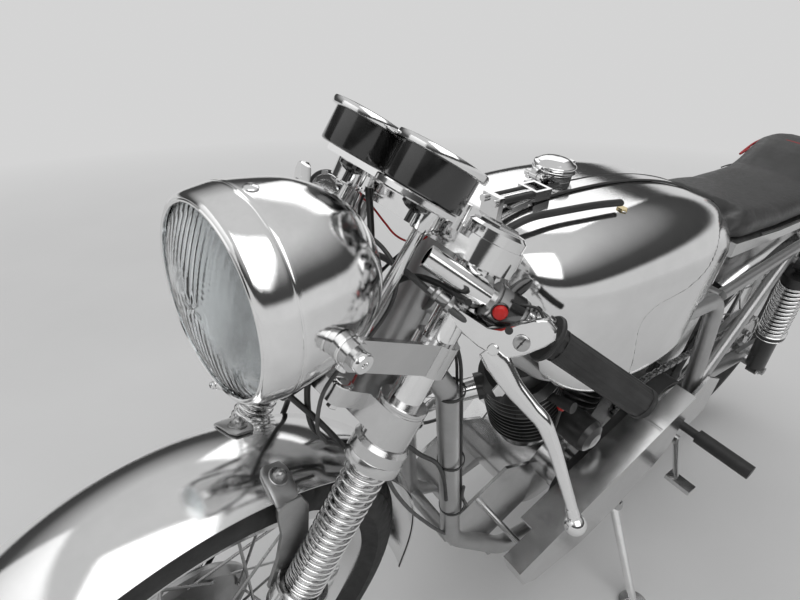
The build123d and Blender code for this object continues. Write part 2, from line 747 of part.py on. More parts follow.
def primary_guard():
    outline = [
        (965, 316), (555, 499), (548, 470), (556, 420), (560, 370), (600, 330), (690, 270), (780, 240),
        (900, 238), (940, 262),
    ]
    outer = side_plate(outline, GUARD_Y - 3, GUARD_Y)
    wide = side_plate([(905, guard_z(905)), (600, guard_z(600)), (600, guard_z(600) - 3), (905, guard_z(905) - 3)], 118, GUARD_Y - 2)
    nose = side_plate([(965, 316), (900, guard_z(900)), (900, guard_z(900) - 3), (963, 312.5)], 143, GUARD_Y - 2)
    tail = side_plate([(602, guard_z(602)), (555, 499), (555, 496), (602, guard_z(602) - 3)], 140, GUARD_Y - 2)
    front = side_plate([(965, 316), (940, 262), (937, 263), (961, 315)], 143, GUARD_Y - 2)
    posts = [rod((x, 66, z), (x, GUARD_Y - 2, z), 11) for x, z in ((915, 300), (650, 258), (640, 456))]
    return joined(outer, wide, nose, tail, front, *posts)


def oil_tank():
    body = side_plate([(448, 490), (540, 500), (534, 628), (448, 622)], -88, 92)
    return fillet(body.edges().filter_by(Axis.Y), 16)


def rear_mudguard():
    inner = WHEEL_R + REAR_GUARD_GAP
    w = 66.0
    drop = 18.0
    a = ThreePointArc((w, 0, inner + 2.5 - drop), (0, 0, inner + 2.5), (-w, 0, inner + 2.5 - drop))
    b = ThreePointArc((w - 2.5, 0, inner - drop), (0, 0, inner), (2.5 - w, 0, inner - drop))
    face = Rot(0, 0, 90) * make_face([a, b, Line(a @ 0, b @ 0), Line(a @ 1, b @ 1)])
    skin = revolve(face, Axis.Y, revolution_arc=125)
    return Pos(0, 0, WHEEL_R) * Rot(0, -80, 0) * skin


def tail_lamp():
    lamp = rod((-352, 0, 470), (-392, 0, 470), 56)
    foot = rod((-300, 0, 470), (-354, 0, 470), 22) - rod((0, -60, WHEEL_R), (0, 60, WHEEL_R), 2 * (WHEEL_R + REAR_GUARD_GAP + 2.7))
    return joined(lamp, foot)


def exhausts():
    front_points = [
        *exhaust_port(True)[1:], (978, -124, 420), (925, -128, 168),
        silencer_point(SILENCER_Z[0], -260), silencer_point(SILENCER_Z[0], 20),
    ]
    rear_points = [
        *exhaust_port(False)[1:], (606, -145, 286),
        silencer_point(SILENCER_Z[1], -90), silencer_point(SILENCER_Z[1], 20),
    ]
    front = swept(front_points, [60, 60, 70, 90], 38)
    rear = swept(rear_points, [36, 60, 60], 38)
    tails = silencers()
    pair = [joined(front, tails[0]), joined(rear, tails[1])]
    return Compound([s for p in pair for s in p.solids()])


def silencer_point(z, t):
    return (440 - 0.99992 * t, -176 - 0.00635 * t, z + 0.0111 * t)


def silencers():
    profile = [(0, 0), (24, 0), (37, 90), (37, 560), (22, 630), (0, 630)]
    parts = []
    for z in SILENCER_Z:
        start = silencer_point(z, 0)
        way = Vector(*silencer_point(z, 1)) - Vector(*start)
        parts.append(turned(profile, start, way))
    return parts


def rearset_plates(loops):
    plate = side_plate([(512, 318), (500, 420), (430, 470), (362, 436), (352, 345), (420, 300)], 149.2, 155)
    return both(joined(plate, pedal())) - loops


def footrests():
    peg = joined(rod((441, 155, 341), (441, 189, 341), 18), rod((441, 189, 341), (441, 300, 341), 30))
    return both(peg)


def pedal():
    return joined(
        rod((488, 155, 338), (488, 172, 338), 20),
        rod((488, 168, 338), (512, 206, 280), 11),
        box(500, 527, 192, 244, 270, 279),
    )


# Parking pose
def lean_location():
    pitch = 0.0
    for _ in range(6):
        turn = Location((0, 0, 0), (0, pitch, 0)) * Location((0, 0, 0), (-LEAN, 0, 0))
        low = []
        for loc, point, crown in (
            (Location((0, 0, 0)), (0, 0, WHEEL_R), REAR_CROWN_R),
            (STEER, (FORK_N, 0, AXLE_S), FRONT_CROWN_R),
        ):
            centre = (turn * loc * Pos(*point)).position
            normal = (turn * loc * Pos(0, 1, 0)).position - (turn * loc * Pos(0, 0, 0)).position
            reach = (WHEEL_R - crown) * sqrt(1 - normal.Z ** 2) + crown
            low.append(centre.Z - reach)
        pitch += degrees(asin((low[1] - low[0]) / WHEELBASE))
    return Pos(0, 0, -low[0]) * turn


STEER = Location((STEER_X, 0, 0), (0, -RAKE, 0)) * Location((0, 0, 0), (0, 0, STEER_TURN))
PARK = lean_location()


def stand_vectors():
    # Ankle of the leg, hinge axis and swing angle, all in the upright frame
    ground = (PARK * Pos(*STAND_FOOT)).position
    ankle = (PARK.inverse() * Pos(ground.X, ground.Y, 6)).position
    leg = (ankle - Vector(*STAND_PIVOT)).normalized()
    stowed = Vector(*STAND_STOWED).normalized()
    axis = leg.cross(stowed).normalized()
    return ankle, axis, degrees(acos(leg.dot(stowed)))


def hinge_point(t):
    return tuple(Vector(*STAND_PIVOT) + stand_vectors()[1] * t)


def side_stand():
    ankle = stand_vectors()[0]
    ground = (PARK * Pos(*STAND_FOOT)).position
    pad = rod((ground.X, ground.Y, 0), (ground.X, ground.Y, 8), 56).moved(PARK.inverse())
    head = rod(hinge_point(-9), hinge_point(9), 30) - rod(hinge_point(-20), hinge_point(20), 12.2)
    reach = ankle - Vector(*STAND_PIVOT)
    knee = tuple(Vector(*STAND_PIVOT) + reach * 0.06)
    toe = tuple(Vector(*STAND_PIVOT) + reach * 1.08)
    below = (Pos(ground.X, ground.Y, -30) * Box(200, 200, 60)).moved(PARK.inverse())
    leg = rod(knee, toe, 17) - below
    return joined(head, leg, pad)


def stand_bracket(loops):
    lug = side_plate([(600, 190), (660, 190), (652, 236), (606, 236)], 92, 150)
    lug = lug - rod(hinge_point(-9.4), hinge_point(90), 120)
    boss = rod(hinge_point(-26), hinge_point(-9.4), 30)
    pin = rod(hinge_point(-12), hinge_point(16), 12)
    bolt_head = rod(hinge_point(9.4), hinge_point(16), 22)
    return joined(lug, boss, pin, bolt_head) - loops


def assembly():
    left = frame_loop()
    right = mirrored(left)
    head = frame_head()
    head_solid = rod(head_axis(801), head_axis(957), HEAD_TUBE_D)
    left = left - head_solid
    right = right - head_solid
    loops = Compound([*left.solids(), *right.solids()])
    head = head - loops
    tank = joined(fuel_tank(), filler_neck(), hose_union())
    fixed = {
        "frame_left_loop": left,
        "frame_right_loop": right,
        "frame_head": head,
        "frame_cross_tubes": Compound([*cross_tubes(loops).solids(), *stand_bracket(loops).solids()]),
        "rear_subframe": rear_subframe(loops),
        "swing_arm": swing_arm(loops),
        "shock_bodies": shock_bodies(),
        "shock_springs": shock_springs(),
        "crankcase": crankcase(),
        "cylinder_barrels": barrels(),
        "cylinder_heads": heads(),
        "pushrod_tubes": pushrod_tubes(),
        "gearbox": gearbox(),
        "belt_pulleys": belt_pulleys(),
        "primary_belt": primary_belt(),
        "rear_chain": rear_chain(),
        "engine_plates": engine_plates(loops),
        "primary_guard": primary_guard(),
        "oil_tank": oil_tank(),
        "fuel_tank": tank,
        "tank_strap": tank_strap(),
        "breather_hose": breather_hose(),
        "air_cleaner": air_cleaner(),
        "spark_plugs": spark_plugs(),
        "seat_pad": seat_pad(),
        "seat_base": seat_base(),
        "rear_mudguard": rear_mudguard(),
        "tail_lamp": tail_lamp(),
        "exhausts": exhausts(),
        "rearset_plates": rearset_plates(loops),
        "footrests": footrests(),
        "side_stand": side_stand(),
    }
    cap = {"filler_cap": filler_cap()}
    rear = {
        "rear_tyre": tyre(REAR_CROWN_R, REAR_BEAD_R, REAR_RIM_W),
        "rear_rim": rim(REAR_BEAD_R, REAR_RIM_W),
        "rear_spokes": spokes(REAR_BEAD_R, 33),
        "rear_hub": rear_hub(),
        "rear_sprocket": rear_sprocket(),
    }
    front = {
        "front_tyre": tyre(FRONT_CROWN_R, FRONT_BEAD_R, FRONT_RIM_W),
        "front_rim": rim(FRONT_BEAD_R, FRONT_RIM_W),
        "front_spokes": spokes(FRONT_BEAD_R, 33),
        "front_hub": front_hub(),
    }
    steered = {
        "fork_stanchions": stanchions(),
        "top_yoke": joined(top_yoke(), *fork_caps().solids()),
        "lower_yoke": lower_yoke(),
        "fork_springs": fork_springs(),
        "fork_sliders": fork_sliders(),
        "front_axle": axle_and_brake(),
        "front_mudguard": front_mudguard(),
        "headlamp_shell": joined(headlamp_shell(), headlamp_rim()),
        "headlamp_lens": headlamp_lens(),
        "headlamp_brackets": headlamp_brackets(),
        "instrument_plate": instrument_plate(),
        "clocks": clocks(),
        "clip_on_bars": clip_ons(),
        "grips": grips(),
        "hand_levers": levers(),
        "switch_housing": switch_housing(),
    }
    placed = {}
    for group, where in (
        (fixed, PARK), (cap, PARK),
        (rear, PARK * Pos(0, 0, WHEEL_R)),
        (front, PARK * STEER * Pos(FORK_N, 0, AXLE_S)),
        (steered, PARK * STEER),
    ):
        for name, shape in group.items():
            placed[name] = Compound(list(shape.solids())).moved(where)
    size = Compound(list(placed.values())).bounding_box()
    shift = Location((-(size.min.X + size.max.X) / 2, -(size.min.Y + size.max.Y) / 2, 0))
    return placed, shift


def main():
    os.makedirs("parts", exist_ok=True)
    placed, shift = assembly()
    for name, shape in placed.items():
        solids = list(shape.moved(shift).solids())
        shape = solids[0] if len(solids) == 1 else Compound(solids)
        print(name, len(solids), round(shape.volume / 1000.0, 1))
        shape.label = name
        export_step(shape, f"parts/{name}.step")


if __name__ == "__main__":
    main()
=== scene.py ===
import json
from math import acos, atan2, copysign, cos, exp, log, pi, radians, sin, sqrt

import bmesh
import bpy
from mathutils import Matrix, Vector

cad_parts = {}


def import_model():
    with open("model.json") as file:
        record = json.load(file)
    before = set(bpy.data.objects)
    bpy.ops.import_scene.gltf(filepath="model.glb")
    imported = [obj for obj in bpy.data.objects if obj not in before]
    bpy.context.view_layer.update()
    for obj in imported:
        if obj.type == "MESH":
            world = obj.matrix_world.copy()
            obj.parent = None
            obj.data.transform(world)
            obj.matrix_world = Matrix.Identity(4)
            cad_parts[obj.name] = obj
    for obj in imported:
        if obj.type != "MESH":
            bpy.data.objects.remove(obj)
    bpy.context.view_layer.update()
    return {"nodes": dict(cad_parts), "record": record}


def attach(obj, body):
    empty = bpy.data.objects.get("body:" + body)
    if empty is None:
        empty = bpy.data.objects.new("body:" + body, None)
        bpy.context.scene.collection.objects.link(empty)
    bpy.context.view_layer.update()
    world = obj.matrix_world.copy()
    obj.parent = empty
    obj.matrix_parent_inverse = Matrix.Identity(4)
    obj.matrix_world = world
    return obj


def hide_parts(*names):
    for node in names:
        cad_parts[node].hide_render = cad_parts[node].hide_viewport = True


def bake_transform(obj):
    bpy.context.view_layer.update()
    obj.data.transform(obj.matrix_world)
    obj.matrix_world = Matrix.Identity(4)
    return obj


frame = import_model()
NODES = frame["nodes"]
MM = 0.001

# Lengths are millimetres in the frames of the machine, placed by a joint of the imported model.
# PARK: x forward from the rear axle, y to the rider's left, z up when the machine is upright.
# STEER: n forward of the steering axis, y left, s up along it from where it meets the ground.
# REAR and FRONT: the wheels' own frames, with the axle along y.
LEAN = radians(10.0)
PITCH = radians(0.0581)
RAKE = radians(26.0)
TURN = radians(5.9)
WHEEL_R = 325.0
STEER_X = 1505.0
FORK_N, FORK_Y, AXLE_S = 57.1, 93.0, 333.8


def vec(*place):
    return Vector(place)


def joint(name):
    return next(j for j in frame["record"]["behaviour"]["joints"] if j["name"] == name)


turn_park = Matrix.Rotation(PITCH, 4, "Y") @ Matrix.Rotation(-LEAN, 4, "X")
rear_axle = Vector(joint("rear_wheel_spin")["pos_m"])
PARK = Matrix.Translation(rear_axle - turn_park @ vec(0, 0, WHEEL_R * MM)) @ turn_park
STEER = PARK @ Matrix.Translation((STEER_X * MM, 0, 0)) @ Matrix.Rotation(-RAKE, 4, "Y")
STEER = STEER @ Matrix.Rotation(TURN, 4, "Z")
REAR = PARK @ Matrix.Translation((0, 0, WHEEL_R * MM))
FRONT = STEER @ Matrix.Translation((FORK_N * MM, 0, AXLE_S * MM))
# What a piece is drawn in and rides on
CHASSIS, STEERING = (PARK, "chassis"), (STEER, "steering")

UP = vec(0, 0, 1)
SIDES = (-1, 1)
BACKDROP = 0.66


# Materials
MATS = {}


def grey(v):
    return (v, v, v)


def shades(light, dark):
    # Stops from the dark patches of a finish to its light ones; a plain number is a grey
    return [(place, grey(v) if isinstance(v, float) else v) for place, v in ((0.3, dark), (0.7, light))]


class Nodes:
    """A node tree; the calls return the socket that the next one reads."""

    def __init__(self, tree):
        self.tree = tree
        self.places = self.add("TexCoord").outputs

    def add(self, kind, links=None, **values):
        node = self.tree.nodes.new("ShaderNode" + kind)
        for key, value in values.items():
            if key in node.inputs:
                node.inputs[key].default_value = value
            else:
                setattr(node, key, value)
        for key, source in (links or {}).items():
            self.tree.links.new(source, node.inputs[key])
        return node

    def ramp(self, source, stops):
        node = self.add("ValToRGB", {"Fac": source})
        elements = node.color_ramp.elements
        for element, (place, colour) in zip(elements, (stops[0], stops[-1])):
            element.position, element.color = place, (*colour, 1)
        for place, colour in stops[1:-1]:
            elements.new(place).color = (*colour, 1)
        return node.outputs["Color"]

    def span(self, source, low, high, from_low=0.3, from_high=0.7):
        limits = {"From Min": from_low, "From Max": from_high, "To Min": low, "To Max": high}
        return self.add("MapRange", {"Value": source}, **limits).outputs["Result"]

    def math(self, operation, *sources):
        return self.add("Math", dict(enumerate(sources)), operation=operation).outputs[0]


class Finish(Nodes):
    """A material round its Principled shader, kept in MATS by its name."""

    def __init__(self, name):
        self.mat = MATS[name] = bpy.data.materials.new(name)
        self.mat.use_nodes = True
        super().__init__(self.mat.node_tree)
        self.bsdf = self.tree.nodes["Principled BSDF"]
        self.coord = self.places["Object"]

    def set(self, **values):
        for key, value in values.items():
            self.bsdf.inputs[key.replace("_", " ")].default_value = value

    def noise(self, scale, detail=3.0, rough=0.5, stretch=None):
        source = self.coord
        if stretch:
            source = self.add("Mapping", {"Vector": self.coord}, Scale=stretch).outputs["Vector"]
        node = self.add("TexNoise", {"Vector": source}, Scale=scale, Detail=detail, Roughness=rough)
        return node.outputs["Fac"]

    def to(self, socket, source):
        self.tree.links.new(source, self.bsdf.inputs[socket])

    def bump(self, *layers):
        normal = None
        for source, strength, distance in layers:
            node = self.add("Bump", {"Height": source}, Strength=strength, Distance=distance)
            if normal:
                self.tree.links.new(normal, node.inputs["Normal"])
            normal = node.outputs["Normal"]
        self.to("Normal", normal)


def metal(name, light, dark, rough, spread, grain=900.0, stretch=None, wave=0.0, metallic=1.0):
    m = Finish(name)
    m.set(Metallic=metallic)
    patches = m.noise(26.0, 4.0, 0.6)
    m.to("Base Color", m.ramp(patches, shades(light, dark)))
    fine = m.noise(grain, 2.0, 0.6, stretch)
    m.to("Roughness", m.span(m.noise(60.0, 5.0, 0.65), rough - spread, rough + spread))
    layers = [(fine, 0.08, 0.0004)]
    if wave:
        layers.append((m.noise(9.0, 1.0, 0.4), wave, 0.004))
    m.bump(*layers)


def dull(name, light, dark, rough, scale=400.0, strength=0.15, depth=0.0006, coat=0.0):
    m = Finish(name)
    m.set(Coat_Weight=coat, Coat_Roughness=0.12)
    m.to("Base Color", m.ramp(m.noise(40.0, 5.0, 0.6), shades(light, dark)))
    m.to("Roughness", m.span(m.noise(90.0, 4.0, 0.6), rough - 0.07, rough + 0.07))
    m.bump((m.noise(scale, 3.0, 0.55), strength, depth))


def leather():
    m = Finish("black_vinyl")
    m.set(Sheen_Weight=0.15, Sheen_Roughness=0.4)
    m.to("Base Color", m.ramp(m.noise(30.0, 4.0, 0.6), [(0.3, grey(0.018)), (0.7, grey(0.035))]))
    cells = m.add("TexVoronoi", {"Vector": m.coord}, Scale=650.0, feature="DISTANCE_TO_EDGE")
    m.to("Roughness", m.span(m.noise(120.0, 3.0), 0.38, 0.55))
    m.bump((cells.outputs["Distance"], 0.35, 0.0008), (m.noise(22.0, 2.0), 0.12, 0.002))


def glass():
    m = Finish("lamp_glass")
    m.set(Base_Color=(0.93, 0.96, 0.97, 1), Transmission_Weight=1.0, IOR=1.45)
    m.to("Roughness", m.span(m.noise(140.0, 3.0), 0.02, 0.06))
    m.bump((m.noise(240.0, 2.0), 0.03, 0.0004))


def lens_red():
    m = Finish("red_lens")
    m.set(Transmission_Weight=0.35, IOR=1.45, Coat_Weight=0.6, Coat_Roughness=0.05)
    m.to("Base Color", m.ramp(m.noise(50.0, 3.0), [(0.3, (0.42, 0.005, 0.006)), (0.7, (0.58, 0.012, 0.01))]))
    m.to("Roughness", m.span(m.noise(90.0), 0.08, 0.16))


# Light and dark of the patches, roughness and its spread, then grain
metal("silver_paint", 0.46, 0.41, 0.36, 0.05, 700.0, metallic=0.8)
metal("polished_alloy", 0.82, 0.77, 0.07, 0.025, 1200.0, wave=0.045)
metal("brushed_alloy", 0.64, 0.59, 0.20, 0.04, 40.0, (1.0, 14.0, 14.0))
metal("cast_alloy", 0.50, 0.40, 0.36, 0.06, 520.0)
metal("chrome", 0.90, 0.80, 0.06, 0.03, 1500.0)
metal("satin_reflector", 0.84, 0.78, 0.20, 0.04, 700.0)
metal("steel", 0.52, 0.38, 0.30, 0.08, 800.0)
metal("brass", (0.62, 0.52, 0.30), (0.50, 0.40, 0.22), 0.26, 0.05)
dull("black_enamel", 0.030, 0.014, 0.34, 500.0, 0.12, 0.0005, coat=0.3)
dull("gloss_black", 0.014, 0.008, 0.16, 900.0, 0.02, 0.0002, coat=0.8)
dull("tyre_rubber", 0.040, 0.020, 0.68, 700.0, 0.3, 0.0008)
dull("black_rubber", 0.036, 0.018, 0.52, 800.0, 0.25, 0.0005)
dull("cable_sheath", 0.10, 0.05, 0.42, 900.0, 0.15, 0.0003)
dull("black_wire", 0.030, 0.014, 0.4, 900.0, 0.1, 0.0002)
dull("red_wire", (0.60, 0.015, 0.012), (0.42, 0.008, 0.008), 0.35, 900.0, 0.1, 0.0002)
dull("red_piping", (0.46, 0.012, 0.016), (0.30, 0.006, 0.010), 0.42, 600.0, 0.2, 0.0004)
dull("white_mark", 0.82, 0.72, 0.5, 900.0, 0.05, 0.0001)
leather()
glass()
lens_red()

SLOT_OF = {s["node"]: s["material_slot"] for s in frame["record"]["subparts"]}
NODE_MATERIAL = {"front_axle": "cast_alloy", "clocks": "gloss_black"}
for brushed in ("primary_guard", "engine_plates", "seat_base", "crankcase", "rearset_plates",
                "lower_yoke", "headlamp_brackets"):
    NODE_MATERIAL[brushed] = "brushed_alloy"


def dress():
    for name, obj in NODES.items():
        key = NODE_MATERIAL.get(name, SLOT_OF[name])
        material = MATS[key]
        for slot in obj.material_slots:
            slot.link = "OBJECT"
            slot.material = material


dress()


# Stage
def place_object(name, data):
    obj = bpy.data.objects.new(name, data)
    bpy.context.scene.collection.objects.link(obj)
    return obj


def stage():
    size = 60.0
    data = bpy.data.meshes.new("floor")
    corners = [(-size, -size, 0), (size, -size, 0), (size, size, 0), (-size, size, 0)]
    data.from_pydata(corners, [], [(0, 1, 2, 3)])
    floor = place_object("floor", data)
    m = Finish("floor")
    m.set(Specular_IOR_Level=0.1)
    m.to("Base Color", m.ramp(m.noise(2.0, 3.0), [(0.2, grey(0.70)), (0.8, grey(0.74))]))
    m.to("Roughness", m.span(m.noise(8.0), 0.8, 0.9))
    # Far from the machine the floor passes into an even pale backdrop
    far = m.add("VectorMath", {"Vector": m.coord}, operation="LENGTH").outputs["Value"]
    fade = m.span(far, 0.0, 1.0, 1.8, 5.5)
    path = m.add("LightPath").outputs
    seen = path["Is Camera Ray"]
    for ray in ("Is Glossy Ray", "Is Transmission Ray"):
        seen = m.math("MAXIMUM", seen, path[ray])
    glow = m.add("Emission", Strength=1.0, Color=(*grey(BACKDROP), 1))
    amount = m.math("MULTIPLY", fade, seen)
    mix = m.add("MixShader", {0: amount, 1: m.bsdf.outputs[0], 2: glow.outputs[0]})
    m.tree.links.new(mix.outputs[0], m.tree.nodes["Material Output"].inputs["Surface"])
    data.materials.append(m.mat)


def world():
    studio = bpy.data.worlds.new("studio")
    bpy.context.scene.world = studio
    studio.use_nodes = True
    m = Nodes(studio.node_tree)
    split = m.add("SeparateXYZ", {0: m.places["Generated"]})
    # Brightness from straight down to straight up: the dark band over the horizon gives metal its contrast
    bands = ((0.0, 0.45), (0.49, 0.60), (0.50, 0.66), (0.548, 0.66), (0.566, 0.05), (0.67, 0.07),
             (0.75, 0.30), (0.86, 0.62), (1.0, 0.66))
    sky = m.ramp(m.span(split.outputs["Z"], 0.0, 1.0, -1.0, 1.0), [(place, grey(v)) for place, v in bands])
    # The camera itself sees an even pale backdrop
    ray = m.add("LightPath").outputs["Is Camera Ray"]
    seen = m.add("MixRGB", {"Fac": ray, "Color1": sky}, Color2=(*grey(BACKDROP), 1))
    back = m.tree.nodes["Background"]
    m.tree.links.new(seen.outputs["Color"], back.inputs["Color"])
    back.inputs["Strength"].default_value = 1.0


def lamp(name, place, aim, size, power):
    data = bpy.data.lights.new(name, "AREA")
    data.shape = "RECTANGLE"
    data.size, data.size_y = size
    data.energy = power
    obj = place_object(name, data)
    obj.location = place
    obj.rotation_euler = (Vector(aim) - Vector(place)).to_track_quat("-Z", "Y").to_euler()


def camera():
    # Solved from parts of standard size, in the frame of PARK
    place = vec(1480.06, 398.42, 1138.85)
    right = vec(-0.7945, 0.5976, 0.1078).normalized()
    look = vec(-0.5472, -0.6276, -0.5537)
    look = (look - right * look.dot(right)).normalized()
    up = right.cross(look)
    basis = Matrix((right, up, -look)).transposed().to_4x4()
    data = bpy.data.cameras.new("camera")
    focal_px, width_px = 552.8, 800.0
    data.sensor_width = 36.0
    data.lens = focal_px * data.sensor_width / width_px
    data.clip_start = 0.02
    obj = place_object("camera", data)
    obj.matrix_world = PARK @ Matrix.Translation(place * MM) @ basis
    bpy.context.scene.camera = obj


stage()
world()
lamp("key", (1.4, 3.0, 4.4), (0.2, 0.0, 0.5), (4.6, 4.6), 92)
lamp("fill", (4.2, -1.4, 2.8), (0.3, 0.0, 0.5), (4.0, 3.2), 26)
lamp("back", (-3.0, -2.6, 3.8), (-0.2, 0.0, 0.5), (4.0, 3.0), 40)
camera()
bpy.context.scene.view_settings.view_transform = "Standard"


# Mesh building
def unit(v):
    return Vector(v).normalized()


def circle(n):
    return [2 * pi * i / n for i in range(n)]


def polar(r, a, y):
    # A point of a wheel's frame, at the angle a from its top
    return vec(r * sin(a), y, r * cos(a))


def side_of(axis):
    axis = unit(axis)
    other = UP if abs(axis.z) < 0.9 else vec(1, 0, 0)
    return other.cross(axis).normalized()


def smooth_path(points, per=8):
    # Centripetal Catmull-Rom curve through the points, per points to a stretch
    pts = [Vector(p) for p in points]
    pts = [2 * pts[0] - pts[1]] + pts + [2 * pts[-1] - pts[-2]]
    out = []
    # Each pass blends neighbours over the knots of its spans
    passes = (((0, 1), (1, 2), (2, 3)), ((0, 2), (1, 3)), ((1, 2),))
    for i in range(1, len(pts) - 2):
        near = pts[i - 1:i + 3]
        knots = [0.0]
        for a, b in zip(near, near[1:]):
            knots.append(knots[-1] + (b - a).length ** 0.5)
        for k in range(per):
            t = knots[1] + (knots[2] - knots[1]) * k / per
            row = near
            for spans in passes:
                ends = [(knots[low], knots[high]) for low, high in spans]
                row = [a * ((t1 - t) / (t1 - t0)) + b * ((t - t0) / (t1 - t0))
                       for (t0, t1), a, b in zip(ends, row, row[1:])]
            out.append(row[0])
    out.append(pts[-2])
    return out


class Shape:
    """Faces of one piece, in millimetres; make() turns them into an object that rides on a body."""

    def __init__(self):
        self.v, self.f, self.m = [], [], []

    def face(self, index, mat):
        self.f.append(index)
        self.m.append(mat)

    def skin(self, rings, mat=0, ends=True, loop=False):
        start = len(self.v)
        n = len(rings[0])
        for ring in rings:
            self.v.extend(Vector(p) for p in ring)
        rows = len(rings)
        for i in range(rows if loop else rows - 1):
            a, b = start + i * n, start + ((i + 1) % rows) * n
            for j in range(n):
                k = (j + 1) % n
                self.face((a + j, a + k, b + k, b + j), mat)
        if ends and not loop:
            self.face(tuple(range(start + n - 1, start - 1, -1)), mat)
            last = start + (rows - 1) * n
            self.face(tuple(range(last, last + n)), mat)
        return self

    def lathe(self, profile, origin=(0, 0, 0), axis=(0, 0, 1), n=48, mat=0, loop=False, lobes=None):
        origin, axis = Vector(origin), unit(axis)
        u = side_of(axis)
        w = axis.cross(u)
        rings = []
        for r, h in profile:
            ring = []
            for a in circle(n):
                rr = max(r, 0.02) * (lobes(a, h) if lobes else 1.0)
                ring.append(origin + axis * h + (u * cos(a) + w * sin(a)) * rr)
            rings.append(ring)
        return self.skin(rings, mat, ends=not loop, loop=loop)

    def rod(self, a, b, d, n=20, mat=0, bevel=0.6):
        a, b = Vector(a), Vector(b)
        r, h = d / 2, (b - a).length
        c = min(bevel, r * 0.5, h * 0.3)
        return self.lathe([(r - c, 0), (r, c), (r, h - c), (r - c, h)], a, b - a, n, mat)

    def tube(self, points, d, n=10, mat=0, ends=True, flat=None, up=None, square=1.0):
        pts = [Vector(p) for p in points]
        last = len(pts) - 1
        tangents = [(pts[min(i + 1, last)] - pts[max(i - 1, 0)]).normalized() for i in range(last + 1)]
        u = side_of(tangents[0]) if up is None else unit(up)
        rings = []
        for i, (p, t) in enumerate(zip(pts, tangents)):
            if i and up is None:
                u = tangents[i - 1].rotation_difference(t) @ u
            u = (u - t * u.dot(t)).normalized()
            w = t.cross(u)
            wide = (d[i] if isinstance(d, (list, tuple)) else d) / 2
            thick = wide if flat is None else flat[i] / 2
            ring = []
            for a in circle(n):
                ca, sa = (copysign(abs(k) ** square, k) for k in (cos(a), sin(a)))
                ring.append(p + u * (thick * ca) + w * (wide * sa))
            rings.append(ring)
        return self.skin(rings, mat, ends)

    def coil(self, a, b, r, wire, turns, n=10, mat=0, ease=None, per=28):
        a, b = Vector(a), Vector(b)
        axis, length = unit(b - a), (b - a).length
        u = side_of(axis)
        w = axis.cross(u)
        pts = []
        total = int(turns * per)
        for i in range(total + 1):
            t = i / total
            h = ease(t) if ease else t
            ang = 2 * pi * i / per
            out = u * cos(ang) + w * sin(ang)
            pts.append(a + axis * (wire / 2 + (length - wire) * h) + out * r)
        return self.tube(pts, wire, n, mat)

    def hexagon(self, origin, axis, d, h, mat=0, washer=True, n=6):
        origin, axis = Vector(origin), unit(axis)
        if washer:
            edge = [(d * 0.62, 0), (d * 0.66, 0.4), (d * 0.66, 1.2), (d * 0.62, 1.6)]
            self.lathe(edge, origin, axis, 24, mat)
            origin = origin + axis * 1.6
        r = d / 2
        self.lathe([(r, 0), (r, h - 0.8), (r * 0.88, h)], origin, axis, n, mat)
        return self

    def cap_screw(self, origin, axis, d, h, mat=0):
        r = d / 2
        prof = [(r, 0), (r, h - 0.6), (r - 0.6, h), (r * 0.52, h), (r * 0.5, h * 0.45)]
        return self.lathe(prof, origin, axis, 20, mat)

    def slab(self, points, lift, mat=0, bevel=0.8):
        # Plate from an outline, thickened along lift, with bevelled rims
        pts = [Vector(p) for p in points]
        lift = Vector(lift)
        mid = sum(pts, Vector()) / len(pts)
        k = unit(lift) * bevel
        inner = [p + (mid - p).normalized() * bevel for p in pts]
        rings = [inner, [p + k for p in pts], [p + lift - k for p in pts], [p + lift for p in inner]]
        return self.skin(rings, mat)

    def block(self, centre, size, mat=0, turn=None, bevel=1.0):
        x, y, z = (s / 2 for s in size)
        turn = turn or Matrix.Identity(3)
        b = min(bevel, x, y, z)
        rings = []
        for h, inset in ((-z, b), (-z + b, 0), (z - b, 0), (z, b)):
            ring = []
            for sx, sy in ((1, 1), (-1, 1), (-1, -1), (1, -1)):
                corner = [(x - inset, y - b), (x - b, y - inset)]
                for cx, cy in corner if sx == sy else corner[::-1]:
                    ring.append(Vector(centre) + turn @ vec(sx * cx, sy * cy, h))
            rings.append(ring)
        return self.skin(rings, mat)

    def mirror(self):
        n = len(self.v)
        self.v += [vec(p.x, -p.y, p.z) for p in self.v[:n]]
        faces = list(zip(self.f, self.m))
        for f, m in faces:
            self.face(tuple(n + i for i in reversed(f)), m)
        return self

    def mesh(self, name, where, mats=()):
        data = bpy.data.meshes.new(name)
        matrix = where @ Matrix.Scale(MM, 4)
        data.from_pydata([matrix @ p for p in self.v], [], self.f)
        for key in mats:
            data.materials.append(MATS[key])
        data.polygons.foreach_set("material_index", self.m)
        bm = bmesh.new()
        bm.from_mesh(data)
        bmesh.ops.remove_doubles(bm, verts=bm.verts, dist=1e-6)
        bmesh.ops.recalc_face_normals(bm, faces=bm.faces)
        bm.to_mesh(data)
        bm.free()
        return data

    def make(self, name, on, mats, angle=38, replaces=(), blend=None):
        where, body = on
        data = self.mesh(name, where, mats)
        data.shade_smooth()
        data.set_sharp_from_angle(angle=radians(angle))
        obj = place_object(name, data)
        if blend:
            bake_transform(obj)
        else:
            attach(obj, body)
        if replaces:
            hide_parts(*replaces)
        return obj


def cable(name, routes, on, mat, blend=None, n=10):
    shape = Shape()
    for points, d in routes:
        shape.tube(smooth_path(points), d, n)
    shape.make(name, on, [mat], 60, blend=blend)


# Headlamp
LAMP = vec(213.0, 0.0, 866.0)
LAMP_DIR = vec(cos(RAKE), 0.0, -sin(RAKE))
LAMP_UP = vec(sin(RAKE), 0.0, cos(RAKE))


def lamp_point(r, a, h):
    return LAMP + LAMP_DIR * h + vec(0, r * sin(a), 0) + LAMP_UP * (r * cos(a))


